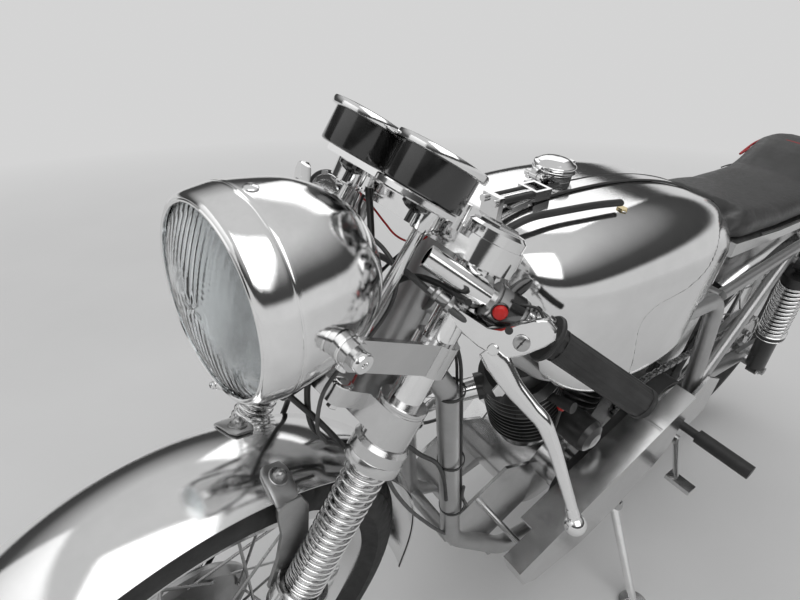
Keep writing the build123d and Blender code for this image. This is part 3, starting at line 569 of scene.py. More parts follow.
def headlamp():
    # Lens: a flat dome of glass, fluted up and down on its outer face
    flute_pitch, flute_lift, fluted_r = 8.0, 0.42, 80
    dome = [(0.5, 57.0), (14, 56.6), (28, 55.4), (42, 53.2), (54, 50.6), (66, 47.2), (76, 43.8),
            (83.5, 40.4)]
    shape = Shape()
    rings = []
    for lift, order, fluted in ((0.0, 1, True), (-5.0, -1, False)):
        for r, h in dome[::order]:
            for sub in range(3) if (fluted and 14 <= r < 76) else (0,):
                i = dome.index((r, h))
                r1, h1 = dome[i + 1] if i + 1 < len(dome) else (r, h)
                rr, hh = r + (r1 - r) * sub / 3, h + (h1 - h) * sub / 3
                ring = []
                for a in circle(240):
                    wave = 0.0
                    if fluted and rr < fluted_r:
                        wave = flute_lift * (1 + cos(2 * pi * rr * sin(a) / flute_pitch))
                    ring.append(lamp_point(rr, a, hh + lift + wave))
                rings.append(ring)
    shape.skin(rings, ends=True)
    shape.make("lamp_lens_fluted", STEERING, ["lamp_glass"], 50, replaces=("headlamp_lens",))

    bowl = [(83.5, 34), (80, 26), (72, 12), (60, -6), (46, -21), (30, -32), (16, -37), (16, -40),
            (31, -35), (48, -24), (63, -8), (75, 11), (83, 26), (85, 34)]
    bulb = [(0, -36), (9, -36), (9, -24), (7, -22), (7, -8), (9, 0), (7, 8), (0, 11)]
    shield = [(0, 14), (11, 12), (15, 6), (15, 2), (13, 2), (12, 6), (9, 10), (0, 12)]
    inner = Shape().lathe(bowl, LAMP, LAMP_DIR, 64, 0).lathe(bulb, LAMP, LAMP_DIR, 24, 1)
    inner.lathe(shield, LAMP, LAMP_DIR, 24)
    for a in (0.3, 2.4, 4.5):
        inner.tube([lamp_point(13, a, 3), lamp_point(52, a, -12)], 1.6, 6)
    inner.make("lamp_reflector", STEERING, ["satin_reflector", "lamp_glass"], 40)

    # Shell: the turned bowl, its rim and the lining behind, in one closed profile
    skin = Shape()
    back = [(0.3, -112), (15, -111), (30, -107.6), (46, -101), (60, -91.5), (72, -77.5), (82, -59.5),
            (88, -43), (91, -28), (93, -12), (94.2, 2), (94.6, 12)]
    out = [(p.x, p.y) for p in smooth_path([(r, h, 0) for r, h in back], 4)]
    rim = [(93.8, 14), (94.8, 14.8), (95.2, 16), (95.0, 19), (94.4, 24), (93.2, 31), (91.6, 38.5),
           (89.6, 42.8), (87.0, 44.4), (84.8, 43.8), (84.1, 41)]
    lining = [(88, 32), (89, 10), (89, 0), (87, -28), (78, -58), (57, -88), (28, -104), (0.3, -107)]
    skin.lathe(out + rim + lining, LAMP, LAMP_DIR, 128)
    skin.make("lamp_shell_turned", STEERING, ["chrome"], 38, replaces=("headlamp_shell",))

    trim = Shape()
    lamp_n, lamp_s = 190, 870
    for r, h, bead in ((94.9, 14.4, 2.8), (86.0, 43.6, 3.4)):
        ring = [lamp_point(r - bead * 0.35, a, h) for a in circle(96)]
        trim.tube(ring + ring[:1], bead, 8, ends=False)
    top = LAMP + LAMP_DIR * 3 + LAMP_UP * 93.6
    trim.lathe([(6.4, -1.5), (6.4, 1.2), (5.0, 2.6), (1.2, 3.0), (1.0, 2.2), (0, 2.2)], top, LAMP_UP, 24)
    clip = LAMP + LAMP_DIR * 38 - LAMP_UP * 91
    trim.block(clip, (14, 12, 10), bevel=1.2)
    trim.cap_screw(clip + LAMP_DIR * 6, LAMP_DIR, 7, 4)
    for side in SIDES:
        trim.lathe([(9.5, -1), (9.5, 1.5), (8.3, 3.2), (3.6, 3.2), (3.2, 1.2), (0, 1.2)],
                   (lamp_n, 119 * side, lamp_s), (0, side, 0), 28)
        trim.lathe([(13.6, 0), (13.6, 2.4), (12.4, 3.4), (9, 3.6)], (lamp_n, 100 * side, lamp_s),
                   (0, side, 0), 28)
        trim.cap_screw((FORK_N + 22, (FORK_Y + 11) * side, 855.5), (1, 0, 0), 9, 5)
    trim.make("lamp_trim", STEERING, ["chrome"], 40)


# Clocks
CLOCK_N, CLOCK_Y, CLOCK_S0 = 124.0, 45.7, 996.2
PILLAR_N, PILLAR_Y = 108.0, 52.0
CLOCK_TIP = radians(-4.5)
TIP = STEER @ Matrix.Translation((CLOCK_N * MM, 0, CLOCK_S0 * MM)) @ Matrix.Rotation(CLOCK_TIP, 4, "Y")


def clocks():
    shape = Shape()
    for side in SIDES:
        c = vec(0, CLOCK_Y * side, 0)
        shape.lathe([(0.5, 0), (36.5, 0), (38.4, 1.0), (39.0, 3.0), (39.0, 34.6), (37.2, 35.2),
                     (37.2, 32.0), (0.5, 32.0)], c, UP, 80)
        shape.lathe([(39.2, 33.6), (43.6, 33.9), (44.9, 34.8), (45.2, 36.4), (45.2, 39.6), (44.4, 41.2),
                     (42.6, 41.9), (40.4, 41.4), (38.8, 39.6), (38.0, 37.0), (38.6, 34.4)], c, UP, 96, 1,
                    loop=True)
        # Dial: plain marks over 270 degrees and a hand, with no figures
        face_h = 32.6
        for k in range(49):
            a = radians(-225 + k * 270 / 48)
            d = vec(cos(a), -sin(a), 0)
            long = 6.0 if k % 6 == 0 else (4.0 if k % 3 == 0 else 2.6)
            wide = 1.1 if k % 6 == 0 else 0.55
            mid = c + d * (35.0 - long / 2) + vec(0, 0, face_h - 0.2)
            turn = Matrix.Rotation(atan2(d.y, d.x), 3, "Z")
            shape.block(mid, (long, wide, 0.8), 2, turn, 0.1)
        angle = radians(-215)
        d = vec(cos(angle), -sin(angle), 0)
        lift = vec(0, 0, 34.6)
        shape.tube([c - d * 8 + lift, c + lift, c + d * 29 + lift], [2.8, 2.3, 0.8], 8, 2)
        shape.lathe([(4.8, 32), (4.8, 35.4), (3.8, 36.2), (0.3, 36.4)], c, UP, 24)
        shape.lathe([(3, -26), (3, -16), (9, -14), (13, -11), (13, -7.2)], c, UP, 28)
    shape.make("clock_cases", (TIP, "steering"), ["gloss_black", "chrome", "white_mark"], 40,
               replaces=("clocks",))
    plate = Shape()
    rings = []
    for r, h in ((42.3, -7), (43.7, -5.8), (43.7, -1.2), (42.3, 0)):
        turns = [(side, radians(5 * k - 90 * side) + pi / 2) for side in (1, -1) for k in range(37)]
        rings.append([vec(r * sin(a), CLOCK_Y * side - r * cos(a), h) for side, a in turns])
    plate.skin(rings)
    for y in (-PILLAR_Y, PILLAR_Y):
        foot = vec(PILLAR_N - CLOCK_N, y, 0)
        plate.lathe([(6.5, -180.5), (6.5, -30), (7.2, -29), (10.4, -28.2), (11, -27), (11, -6)], foot, UP,
                    36)
    plate.make("clock_plate", (TIP, "steering"), ["polished_alloy"], 40, replaces=("instrument_plate",))
    cover = Shape()
    for side in SIDES:
        c = vec(0, CLOCK_Y * side, 0)
        cover.lathe([(0.3, 39.0), (38.2, 38.8), (38.6, 38.2), (38.2, 37.6), (0.3, 37.8)], c, UP, 72)
    cover.make("clock_glasses", (TIP, "steering"), ["lamp_glass"], 40)
    fix = Shape()
    for y in (-PILLAR_Y, PILLAR_Y):
        fix.lathe([(11.2, 0), (11.2, 1.6), (9.0, 3.0), (6.6, 3.2)], (PILLAR_N, y, 797), UP, 32)
        fix.hexagon((PILLAR_N, y, 777), (0, 0, -1), 13, 6)
        fix.lathe([(6.9, 0), (11.4, 2.4), (11.4, 4)], (PILLAR_N, y, 967), UP, 32)
    fix.make("clock_pillar_nuts", STEERING, ["polished_alloy"], 40)


# Fork
def fork():
    spring = Shape()
    for side in SIDES:
        low, high = ((FORK_N, FORK_Y * side, s) for s in (546, 727))
        spring.coil(low, high, 21.6, 4.1, 19.5, ease=lambda t: t * (0.68 + 0.32 * t))
    spring.make("fork_coils", STEERING, ["chrome"], 60, replaces=("fork_springs",))
    # Collars of each leg, from the slider's to the cap: profile and facets
    collars = (
        ([(26, 541), (30.9, 541), (31.3, 542), (31.3, 546.5), (29.6, 548.6), (25.4, 548.6), (24.8, 546),
          (24.8, 541)], 56),
        ([(30.9, 520), (31.5, 520.6), (31.5, 522.4), (30.9, 523)], 56),
        ([(28.1, 508), (29.4, 509), (31.2, 513)], 56),
        ([(29, 725), (31.4, 726), (31.6, 728), (31.6, 738), (31.0, 738.8)], 56),
        ([(26.6, 752), (31.2, 752), (28.0, 757), (26.6, 757)], 56),
        ([(18, 799), (26.0, 799), (27.2, 800.4), (27.2, 803.4), (26.2, 804.6), (18, 804.6)], 56),
        ([(20, 1001), (22, 1001), (22, 1003.6), (20.6, 1004.8), (11, 1004.8), (10, 1002.4),
          (0.5, 1002.4)], 6),
        ([(23.2, 1000.4), (26.0, 1000.4), (26.0, 1001.6), (23.2, 1001.8)], 48),
    )
    rings = Shape()
    for side in SIDES:
        for profile, facets in collars:
            rings.lathe(profile, (FORK_N, FORK_Y * side, 0), UP, facets)
        for quarter in range(4):
            a = radians(45 + 90 * quarter)
            out = vec(cos(a), sin(a), 0)
            place = vec(FORK_N, FORK_Y * side, 531) + out * 30.6
            rings.lathe([(2.6, 0), (2.6, 1.0), (0.5, 1.0)], place, out, 12, 1)
        rings.cap_screw((FORK_N - 26, (FORK_Y + 10) * side, 781), (0, side, 0), 10, 8)
        rings.hexagon((FORK_N, 126 * side, AXLE_S), (0, side, 0), 27, 9)
        rings.cap_screw((-8, 103 * side, 470), (0, side, 0), 13, 6)
        for s in (AXLE_S - 10, AXLE_S + 10):
            rings.cap_screw((FORK_N + 12, (FORK_Y + 21) * side, s), (0, side, 0), 8, 6)
    rings.hexagon((0, 0, 1002), UP, 22, 4, 0, False)
    rings.make("fork_trim", STEERING, ["brushed_alloy", "black_enamel"], 38)


def pinch_bolts():
    shape = Shape()
    for side in SIDES:
        for s in (773, 789):
            shape.hexagon((24, 66 * side, s), (-1, 0, 0), 12, 6)
        shape.cap_screw((30, 108 * side, 973), (-0.5, 0.86 * side, 0), 10, 5)
    shape.make("yoke_bolts", STEERING, ["steel"], 38)


# Bars and controls
BAR0 = vec(117.0, 76.0, 953.0)
BAR_DIR = vec(-0.6896, 0.7091, -0.1468).normalized()
LEVER_UP = vec(0.91627, 0.38263, -0.11847)


def bar(t):
    return BAR0 + BAR_DIR * t


def between(row, count, per):
    # Values for count points of a path that has per points to each stretch of the row
    out = []
    for i in range(count):
        k = min(i // per, len(row) - 2)
        out.append(row[k] + (row[k + 1] - row[k]) * (i / per - k))
    return out


def grips():
    shape = Shape()

    def ribs(a, h):
        if 9 < h < 122:
            return 1.0 + 0.05 * (0.5 + 0.5 * copysign(1, cos(8 * a) - 0.15)) - 0.035
        return 1.0

    prof = [(9.2, 0.4), (23.0, 0), (24.2, 1.4), (24.2, 3.6), (22.8, 5.2), (17.2, 7.5), (16.2, 9.0),
            (16.2, 10.5), (16.2, 121), (16.2, 122.5), (16.5, 123.0), (16.5, 124.4), (14.8, 126.0),
            (5, 126.6), (4.4, 125.4), (0.5, 125.4)]
    shape.lathe(prof, bar(136.6), BAR_DIR, 128, 0, lobes=ribs)
    for k in (13.5, 118.5):
        shape.lathe([(15.6, k), (16.9, k + 0.4), (16.9, k + 2), (15.6, k + 2.4)], bar(136.6), BAR_DIR, 64)
    shape.mirror()
    shape.make("hand_grips", STEERING, ["black_rubber"], 34, replaces=("grips",))


def controls():
    shape = Shape()
    path = [(73, 151, 905), (67.5, 163, 899), (57.6, 183.8, 886), (48, 204, 877.5), (42.5, 216.5, 873),
            (37, 226, 865), (30, 239, 852), (19.4, 258.4, 830), (11, 272, 814), (8, 277.5, 808)]
    wide = [20, 25, 19, 16, 15.5, 13.5, 12, 10.5, 9.5, 9.5]
    thick = [9, 10, 9, 9.5, 10.5, 10.5, 10, 9.5, 9, 9]
    fine = smooth_path(path, 5)
    wide, thick = (between(row, len(fine), 5) for row in (wide, thick))
    shape.tube(fine, wide, 24, flat=thick, up=LEVER_UP, square=0.72)
    ball = [(10.2 * sin(pi * k / 16), -10.2 * cos(pi * k / 16)) for k in range(17)]
    shape.lathe(ball, (5, 281, 801), UP, 32)
    shape.lathe([(5.2, 0), (5.2, 9)], (11, 271, 813), vec(5, 281, 801) - vec(11, 271, 813), 24)
    hook = vec(55, 176, 884)
    claw = ((4, -4, 2), (-2, 4, -2), (-5, 1, -14), (-3, -4, -18), (2, -8, -14))
    shape.slab([hook + Vector(p) for p in claw], LEVER_UP * -5, bevel=1.0)

    # Perch: a cast plate clamped on the bar, the blade on a slotted screw
    centre = vec(72.0, 158.0, 921.0)
    along = (BAR_DIR - LEVER_UP * BAR_DIR.dot(LEVER_UP)).normalized()
    across = LEVER_UP.cross(along).normalized()
    if across.z < 0:
        across = -across
    plan = [(-50, -14), (-40, -19), (-28, -21), (-12, -21), (-2, -19), (8, -16), (15, -10), (20, -4),
            (25, 6), (31, 20), (33, 30), (28, 37), (18, 38), (10, 32), (2, 20), (-7, 6), (-17, -2),
            (-33, -4), (-46, -6)]

    def place(p, lift):
        return centre + along * p[0] + across * p[1] + LEVER_UP * lift

    shape.slab([place(p, 4) for p in plan], LEVER_UP * -13, 0, 1.8)
    shape.lathe([(11.2, -9), (17.6, -9), (18.4, -8), (18.4, 8), (17.6, 9), (11.2, 9)], bar(120), BAR_DIR,
                48, 0, loop=True)
    shape.lathe([(7.6, 0), (7.6, 1.2), (6.6, 2.0), (1.4, 2.0), (1.2, 1.0), (0.4, 1.0)], place((14, 9), 4),
                LEVER_UP, 28, 1)
    shape.block(place((14, 9), 5.8), (1.4, 12, 1.2), 2, Matrix((along, across, LEVER_UP)).transposed(), 0.1)
    shape.lathe([(3.6, 0), (3.6, 0.5), (0.4, 0.5)], place((-1, 10), 4), LEVER_UP, 20, 2)
    shape.lathe([(5.4, 0), (5.4, 1.0), (4.6, 1.8), (0.4, 1.8)], place((0, -13), 4), LEVER_UP, 24)
    for t in (112, 128):
        shape.cap_screw(bar(t) + vec(6, 6, 15), (0.2, 0.4, 1), 8, 5, 1)

    def knurl(a, h):
        return 1.0 + (0.05 * copysign(1, cos(14 * a)) if 4 < h < 10 else 0)

    adjuster = [(5.6, -2), (5.6, 4), (8.2, 4.6), (8.2, 9.4), (5.0, 10), (5.0, 20), (6.6, 20.6), (6.6, 24),
                (3.4, 26), (3.2, 31)]
    shape.lathe(adjuster, place((-48, -9), -2), -along + LEVER_UP * 0.15, 24, 1, lobes=knurl)
    shape.mirror()
    shape.make("control_levers", STEERING, ["polished_alloy", "steel", "black_enamel"], 42,
               replaces=("hand_levers",))

    # Switch: a red button and a thumb lever on black sleeves round the left bar
    switch = Shape()
    out = vec(0.724, 0.681, -0.111).normalized()
    knob = bar(79.2) + out * 17.6
    switch.lathe([(8.6, -1.5), (8.6, 1.0), (7.8, 1.6), (7.2, 1.2)], knob, out, 32, 1)
    switch.lathe([(6.9, 0.4), (6.9, 2.6), (6.2, 4.0), (4.4, 4.9), (0.5, 5.4)], knob, out, 28)
    up = (UP - BAR_DIR * BAR_DIR.z).normalized()
    front = BAR_DIR.cross(up)
    if front.x < 0:
        front = -front

    def sleeve(t0, t1, r, from_deg, to_deg, mat):
        ends = []
        for t, rr in ((t0, r), (t0, r + 1.6), (t1, r + 1.6), (t1, r)):
            turns = [radians(d) for d in range(from_deg, to_deg + 1, 6)]
            ends.append([bar(t) + (front * cos(a) + up * sin(a)) * rr for a in turns])
        switch.skin([list(row) for row in zip(*ends)], mat)

    sleeve(84, 98, 18.0, -110, 124, 1)
    sleeve(68, 84, 18.0, -150, -44, 1)
    lever = []
    for d, wide, deep in ((15, 13, 9), (22, 14, 8), (28, 13, 7), (33, 10, 6), (36, 5, 4)):
        mid = bar(84.6 + (d - 15) * 0.28) + up * d - front * ((d - 15) * 0.12)
        lever.append([mid + BAR_DIR * (wide / 2 * cos(a)) + front * (deep / 2 * sin(a))
                      for a in circle(16)])
    switch.skin(lever, 1)
    for t in (72, 101):
        switch.lathe([(18.1, 0), (18.5, 0.5), (18.5, 1.5), (18.1, 2)], bar(t), BAR_DIR, 56, 1)
    switch.lathe([(18.1, 0), (18.3, 0.2), (18.3, 0.6), (18.1, 0.8)], bar(87), BAR_DIR, 56, 2)
    switch.make("switch_details", STEERING, ["red_wire", "gloss_black", "steel"], 40)


# Seat: side view of its upper and lower line, as x and z
SEAT_TOP = [(488, 789), (470, 801), (400, 794), (300, 783), (200, 781), (150, 782), (118, 788), (90, 800),
            (50, 820), (10, 835), (-30, 838), (-80, 836), (-125, 828), (-148, 812), (-155, 802)]
SEAT_LOW = [(494, 762), (300, 746), (100, 742), (-150, 782)]


def line_at(table, x):
    pts = sorted(table)
    if x <= pts[0][0]:
        return pts[0][1]
    for (x0, z0), (x1, z1) in zip(pts, pts[1:]):
        if x <= x1:
            return z0 + (z1 - z0) * (x - x0) / (x1 - x0)
    return pts[-1][1]


def seat_width(x):
    if x > 430:
        return 108 - 14 * ((x - 430) / 62) ** 2
    if x < -90:
        return 108 - 34 * ((-90 - x) / 64) ** 2
    return 108


def seat():
    front, back, count = 492, -155, 64
    shape = Shape()
    rings = []
    for i in range(count + 1):
        x = front - i * (front - back) / count
        top, low, w = line_at(SEAT_TOP, x), line_at(SEAT_LOW, x) + 1.5, seat_width(x)
        end = min(1.0, (i + 0.6) / 3.0, (count + 1 - i) / 3.0)
        top = low + (top - 3.5 - low) * (0.62 + 0.38 * end)
        w -= 4.0
        h = top - low
        r = min(26.0, h * 0.48)
        ring = [vec(x, y * w, low) for y in (-0.92, -0.46, 0.0, 0.46, 0.92)]
        wall = [(w, low + 6), (w - 2, low + (h - r) * 0.5), (w, top - r)]
        for k in (1, 2, 3):
            a = radians(22.5 * k * 1.15)
            wall.append((w - r + r * cos(a), top - r + r * sin(a)))
        ring += [vec(x, y, z) for y, z in wall]
        for y in (0.66, 0.44, 0.22, 0.0, -0.22, -0.44, -0.66):
            # The front edge is hollowed in the middle, where it meets the tank
            dip = 0.0
            if x > 442 and abs(y) < 0.7:
                dip = 30.0 * min(1.0, (x - 442) / 16) * min(1.0, (0.7 - abs(y)) * 4)
            ring.append(vec(x, y * w, top + 2.5 * (1 - y * y) - dip))
        rings.append(ring + [vec(x, -y, z) for y, z in reversed(wall)])
    shape.skin(rings)
    obj = shape.make("seat_cushion", CHASSIS, ["black_vinyl"], 180, replaces=("seat_pad",))
    inflate(obj)
    bpy.context.view_layer.update()
    smooth = obj.modifiers.new("smooth", "SUBSURF")
    smooth.levels = smooth.render_levels = 1
    apply(obj)
    obj.data.shade_smooth()

    # Black edge below, red piping round the hump and a seam in front of it
    pipe_half = 103
    piping = Shape()
    for side in SIDES:
        edge = [(x, side * (seat_width(x) - 1.5), line_at(SEAT_LOW, x) + 5.5) for x in range(400, -129, -12)]
        piping.tube(smooth_path(edge, 2), 5.0, 8, 1)
    hump = []
    for k in range(33):
        a = pi * k / 32
        c = abs(cos(a))
        hump.append((4 + 62 * c ** 6, pipe_half * cos(a), 838.5 - 44 * c ** 4.5))
    tail = [(x, pipe_half - 0.2 * max(0, -60 - x), line_at(SEAT_TOP, x) - 19)
            for x in (20, -20, -60, -100, -125)]
    route = tail[::-1] + hump + [(x, -y, z) for x, y, z in tail]
    piping.tube(smooth_path(route, 4), 5.2, 8, 0)
    seam = []
    for k in range(21):
        c = cos(pi * k / 20)
        x = 138 - 66 * (1 - abs(c) ** 1.6)
        seam.append((x, pipe_half * c, line_at(SEAT_TOP, x) + 0.5 - 13 * abs(c) ** 7))
    piping.tube(smooth_path(seam, 3), 3.0, 8, 1)
    piping.make("seat_piping", CHASSIS, ["red_piping", "black_vinyl"], 60)


def apply(obj):
    graph = bpy.context.evaluated_depsgraph_get()
    graph.update()
    mesh = bpy.data.meshes.new_from_object(obj.evaluated_get(graph))
    old = obj.data
    obj.modifiers.clear()
    obj.data = mesh
    bpy.data.meshes.remove(old)


def inflate(obj):
    # A short cloth run under pressure, held to within cap of the modelled form
    scene = bpy.context.scene
    remesh = obj.modifiers.new("remesh", "REMESH")
    remesh.mode = "VOXEL"
    remesh.voxel_size = 0.006
    apply(obj)
    rest = [v.co.copy() for v in obj.data.vertices]
    cloth = obj.modifiers.new("cloth", "CLOTH")
    cloth.settings.quality = 4
    cloth.settings.use_pressure = True
    cloth.settings.uniform_pressure_force = 4.0
    cloth.settings.effector_weights.gravity = 0.0
    for frame_no in range(1, 21):
        scene.frame_set(frame_no)
    apply(obj)
    scene.frame_set(1)
    cap = 0.006
    for v, start in zip(obj.data.vertices, rest):
        move = v.co - start
        if move.length > cap:
            v.co = start + move * (cap / move.length)


# Springs of the rear shocks
SHOCK_LOW, SHOCK_TOP, SHOCK_Y = (62, 331), (165, 655), 142


def shock_point(t, side):
    low, high = (vec(x, SHOCK_Y * side, z) for x, z in (SHOCK_LOW, SHOCK_TOP))
    return low + (high - low) * t


def shocks():
    shape = Shape()
    for side in SIDES:
        shape.coil(shock_point(0.402, side), shock_point(0.858, side), 26.2, 7.2, 12.5, 10, 0)
    shape.make("shock_coils", CHASSIS, ["chrome"], 60, replaces=("shock_springs",))
    trim = Shape()
    for side in SIDES:
        axis = shock_point(1, side) - shock_point(0, side)
        for t in (0.357, 0.395):
            trim.lathe([(30, 0), (31.6, 1), (31.6, 3), (30, 4)], shock_point(t, side), axis, 48)
        for (x, z), y in ((SHOCK_LOW, 158), (SHOCK_TOP, 154)):
            trim.hexagon((x, y * side, z), (0, side, 0), 20, 8, 1)
    trim.make("shock_trim", CHASSIS, ["chrome", "steel"], 38)


# Wheels
def tyre(name, crown, bead, rim_w, on, node, block):
    # Ring by ring round the axle: grooves run between the lanes of ribs, and sipes cut across them
    half, centre = rim_w / 2 - 4, WHEEL_R - crown
    cuts = (-62, -38, -14, 14, 38, 62) if block else (-56, -30, -8, 8, 30, 56)
    angles = {a for c in cuts for a in (c - 2.6, c - 1.6, c + 1.6, c + 2.6)}
    angles = sorted(angles | set(range(-100, 101, 10)))
    angles = [a for a in angles if all(abs(a - c) >= 1.6 or a in (c - 1.6, c + 1.6) for c in cuts)]
    stations = [(a, any(abs(a - c) <= 1.7 for c in cuts)) for a in angles]
    walls = [(half + 7, bead + 22), (half + 1, bead + 12), (half, bead + 1), (half - 6, bead - 0.2)]
    rings = []
    for i, th in enumerate(circle(420)):
        ring = []
        for a, groove in stations:
            depth = 0.0
            if abs(a) < 66:
                lane = sum(a > c for c in cuts)
                phase = (i + (3 if lane % 2 else 0) + int(abs(a) * (0.10 if block else 0.06))) % 6
                if groove:
                    depth = 4.0
                elif phase == 0 and (block or abs(a) > 8):
                    depth = 3.0
            k = crown - depth
            yy, rr = k * sin(radians(a)), centre + k * cos(radians(a))
            ring.append(polar(rr, th, yy))
        ring += [polar(r, th, y) for y, r in walls] + [polar(r, th, -y) for y, r in reversed(walls)]
        rings.append(ring)
    Shape().skin(rings, loop=True).make(name, on, ["tyre_rubber"], 30, replaces=(node,))


def wheel_trim(name, bead, on):
    # Ends of the spokes: crossed in pairs, from the flanges of the hub to the rim
    spokes, flange_r, flange_y, nipple_y = 16, 78, 33, 6.0
    step, crossing = 360 / spokes, radians(48)
    shape = Shape()
    for side in SIDES:
        for i in range(spokes):
            lead = 1 if i % 2 else -1
            a0 = radians(i * step + (step / 2 if side > 0 else 0))
            a1 = a0 + lead * crossing
            inner = polar(flange_r, a1, side * (flange_y + 3.5 * lead))
            end = polar(bead - 12, a0, side * nipple_y * (1.6 if lead > 0 else 0.6))
            way = (end - inner).normalized()
            shape.lathe([(2.0, 0), (3.4, 0.6), (3.4, 13), (2.2, 14.5)], end - way * 16, way, 8)
            shape.lathe([(3.6, -1.2), (4.4, 0), (3.6, 1.2)], inner, (0, side, 0), 10)
    valve = vec(0, 0, bead - 15)
    shape.lathe([(3.4, 0), (3.4, 14), (4.2, 15), (4.2, 26), (3.4, 28)], valve, (0, 0, -1), 14, 1)
    shape.make(name, on, ["steel", "black_rubber"], 40)


def sprocket():
    shape = Shape()
    teeth, tip_r, root_r, bore_r = 46, 77.6, 72.5, 32
    steps = circle(teeth * 4)
    outline = [(tip_r if i % 4 in (0, 1) else root_r, a) for i, a in enumerate(steps)]
    rings = []
    for y, shrink in ((64.2, 0.8), (65.4, 0), (70.6, 0), (71.8, 0.8)):
        rings.append([polar(r * (1 - shrink / 78.0), a, y) for r, a in outline])
    inner = [[polar(bore_r, a, y) for a in steps] for y in (71.8, 64.2)]
    shape.skin(rings + inner, ends=False, loop=True)
    for k in range(6):
        a = radians(60 * k)
        shape.hexagon(polar(46, a, 71.8), (0, 1, 0), 14, 6)
    shape.make("toothed_sprocket", (REAR, "rear_wheel"), ["steel"], 38, replaces=("rear_sprocket",))


def belt_route(c0, r0, c1, r1, steps):
    # Closed run round two circles in the x, z plane: points and outward normals, evenly spaced
    d = Vector(c1) - Vector(c0)
    dist = d.length
    base = atan2(d.y, d.x)
    off = acos((r0 - r1) / dist)
    a0, a1 = base + off, base - off

    def point(c, r, a):
        return vec(c[0] + r * cos(a), c[1] + r * sin(a))

    straight = (point(c0, r0, a0) - point(c1, r1, a0)).length
    # Length of each leg, and its point and normal's angle at s from its start
    legs = (
        ((2 * pi - 2 * off) * r0, lambda s: (point(c0, r0, a0 + s / r0), a0 + s / r0)),
        (straight, lambda s: (point(c0, r0, a1).lerp(point(c1, r1, a1), s / straight), a1)),
        (2 * off * r1, lambda s: (point(c1, r1, a1 + s / r1), a1 + s / r1)),
        (straight, lambda s: (point(c1, r1, a0).lerp(point(c0, r0, a0), s / straight), a0)),
    )
    total = sum(length for length, leg in legs)
    out = []
    for i in range(steps):
        s = total * i / steps
        for length, leg in legs:
            if s < length:
                break
            s -= length
        place, a = leg(s)
        out.append((place, vec(cos(a), sin(a))))
    return out


def drive():
    crank, clutch = (745, 325), (545, 390)
    belt_in, belt_out, chain_y = 97, 127, 68
    shape = Shape()
    route = belt_route(crank, 46.0, clutch, 84.0, 240)
    rings = []
    for i, (p, nrm) in enumerate(route):
        low = 0.4 if i % 4 < 2 else 2.6
        a, b = p + nrm * low, p + nrm * 6.8
        corners = ((a, belt_in), (b, belt_in), (b, belt_out), (a, belt_out))
        rings.append([vec(q.x, y, q.y) for q, y in corners])
    shape.skin(rings, loop=True)
    shape.make("toothed_belt", CHASSIS, ["black_rubber"], 30, replaces=("primary_belt",))

    chain = Shape()
    links, link_r = 106, 4.1
    route = belt_route(clutch, 44.5, (0, WHEEL_R), 84.5, links)
    for i in range(links):
        p, q = route[i][0], route[(i + 1) % links][0]
        along = (q - p).normalized()
        across = vec(-along.y, along.x)
        outer = i % 2
        for side in SIDES:
            y = chain_y + side * (4.6 if outer else 2.9)
            outline = []
            for end, c in ((-1, p), (1, q)):
                for k in range(5):
                    a = radians(-90 + 45 * k)
                    v = c + along * (end * link_r * cos(a)) + across * (link_r * sin(a) * end)
                    outline.append(vec(v.x, y, v.y))
            chain.slab(outline, (0, 1.4 * side, 0), 0, 0.2)
        for half, d, n, bevel in ((5.8, 3.4, 6, 0.3), (2.6, 6.2, 8, 0.2)):
            chain.rod((p.x, chain_y - half, p.y), (p.x, chain_y + half, p.y), d, n, 0, bevel)
    chain.make("roller_chain", CHASSIS, ["steel"], 40, replaces=("rear_chain",))


# Tank: x, half width, bottom, top and corner radius of each station
TANK = [(502, 100, 612, 808, 52), (545, 130, 590, 830, 74), (650, 150, 588, 860, 88),
        (800, 158, 612, 880, 92), (945, 150, 664, 880, 84), (1020, 122, 728, 868, 60),
        (1046, 80, 770, 845, 30)]
KNEE_FRONT = [(600, 790), (660, 826), (690, 834), (750, 858), (780, 866)]
KNEE_TOP = [(500, 842), (600, 838), (650, 832), (680, 816), (715, 794), (760, 780), (830, 777), (866, 768)]
KNEE_FRONT, KNEE_TOP = ([(p.x, p.y) for p in smooth_path([(a, b, 0) for a, b in row])]
                        for row in (KNEE_FRONT, KNEE_TOP))
KNEE_DEPTH, KNEE_SOFT = 15.0, 12.0
FILLER = (862, -33, 0)


def spline(values):
    # Natural cubic through evenly spaced values
    n = len(values)
    upper, right, bend = [0.0] * n, [0.0] * n, [0.0] * n
    for i in range(1, n - 1):
        k = 4.0 - upper[i - 1]
        upper[i] = 1.0 / k
        right[i] = (6 * (values[i + 1] - 2 * values[i] + values[i - 1]) - right[i - 1]) / k
    for i in range(n - 2, 0, -1):
        bend[i] = right[i] - upper[i] * bend[i + 1]

    def at(t):
        i = min(int(t), n - 2)
        u = t - i
        pull = (2 - u) * bend[i] + (1 + u) * bend[i + 1]
        return (1 - u) * values[i] + u * values[i + 1] - u * (1 - u) / 6 * pull

    return at


def knee(x, z):
    # Depth of the knee recess, with a soft edge along both of its lines
    a, b = line_at(KNEE_FRONT, z) - x, line_at(KNEE_TOP, x) - z
    near = min(a, b)
    inside = near - KNEE_SOFT * log(exp((near - a) / KNEE_SOFT) + exp((near - b) / KNEE_SOFT))
    k = max(0.0, min(1.0, (inside + 8) / 26.0))
    return KNEE_DEPTH * k * k * (3 - 2 * k)


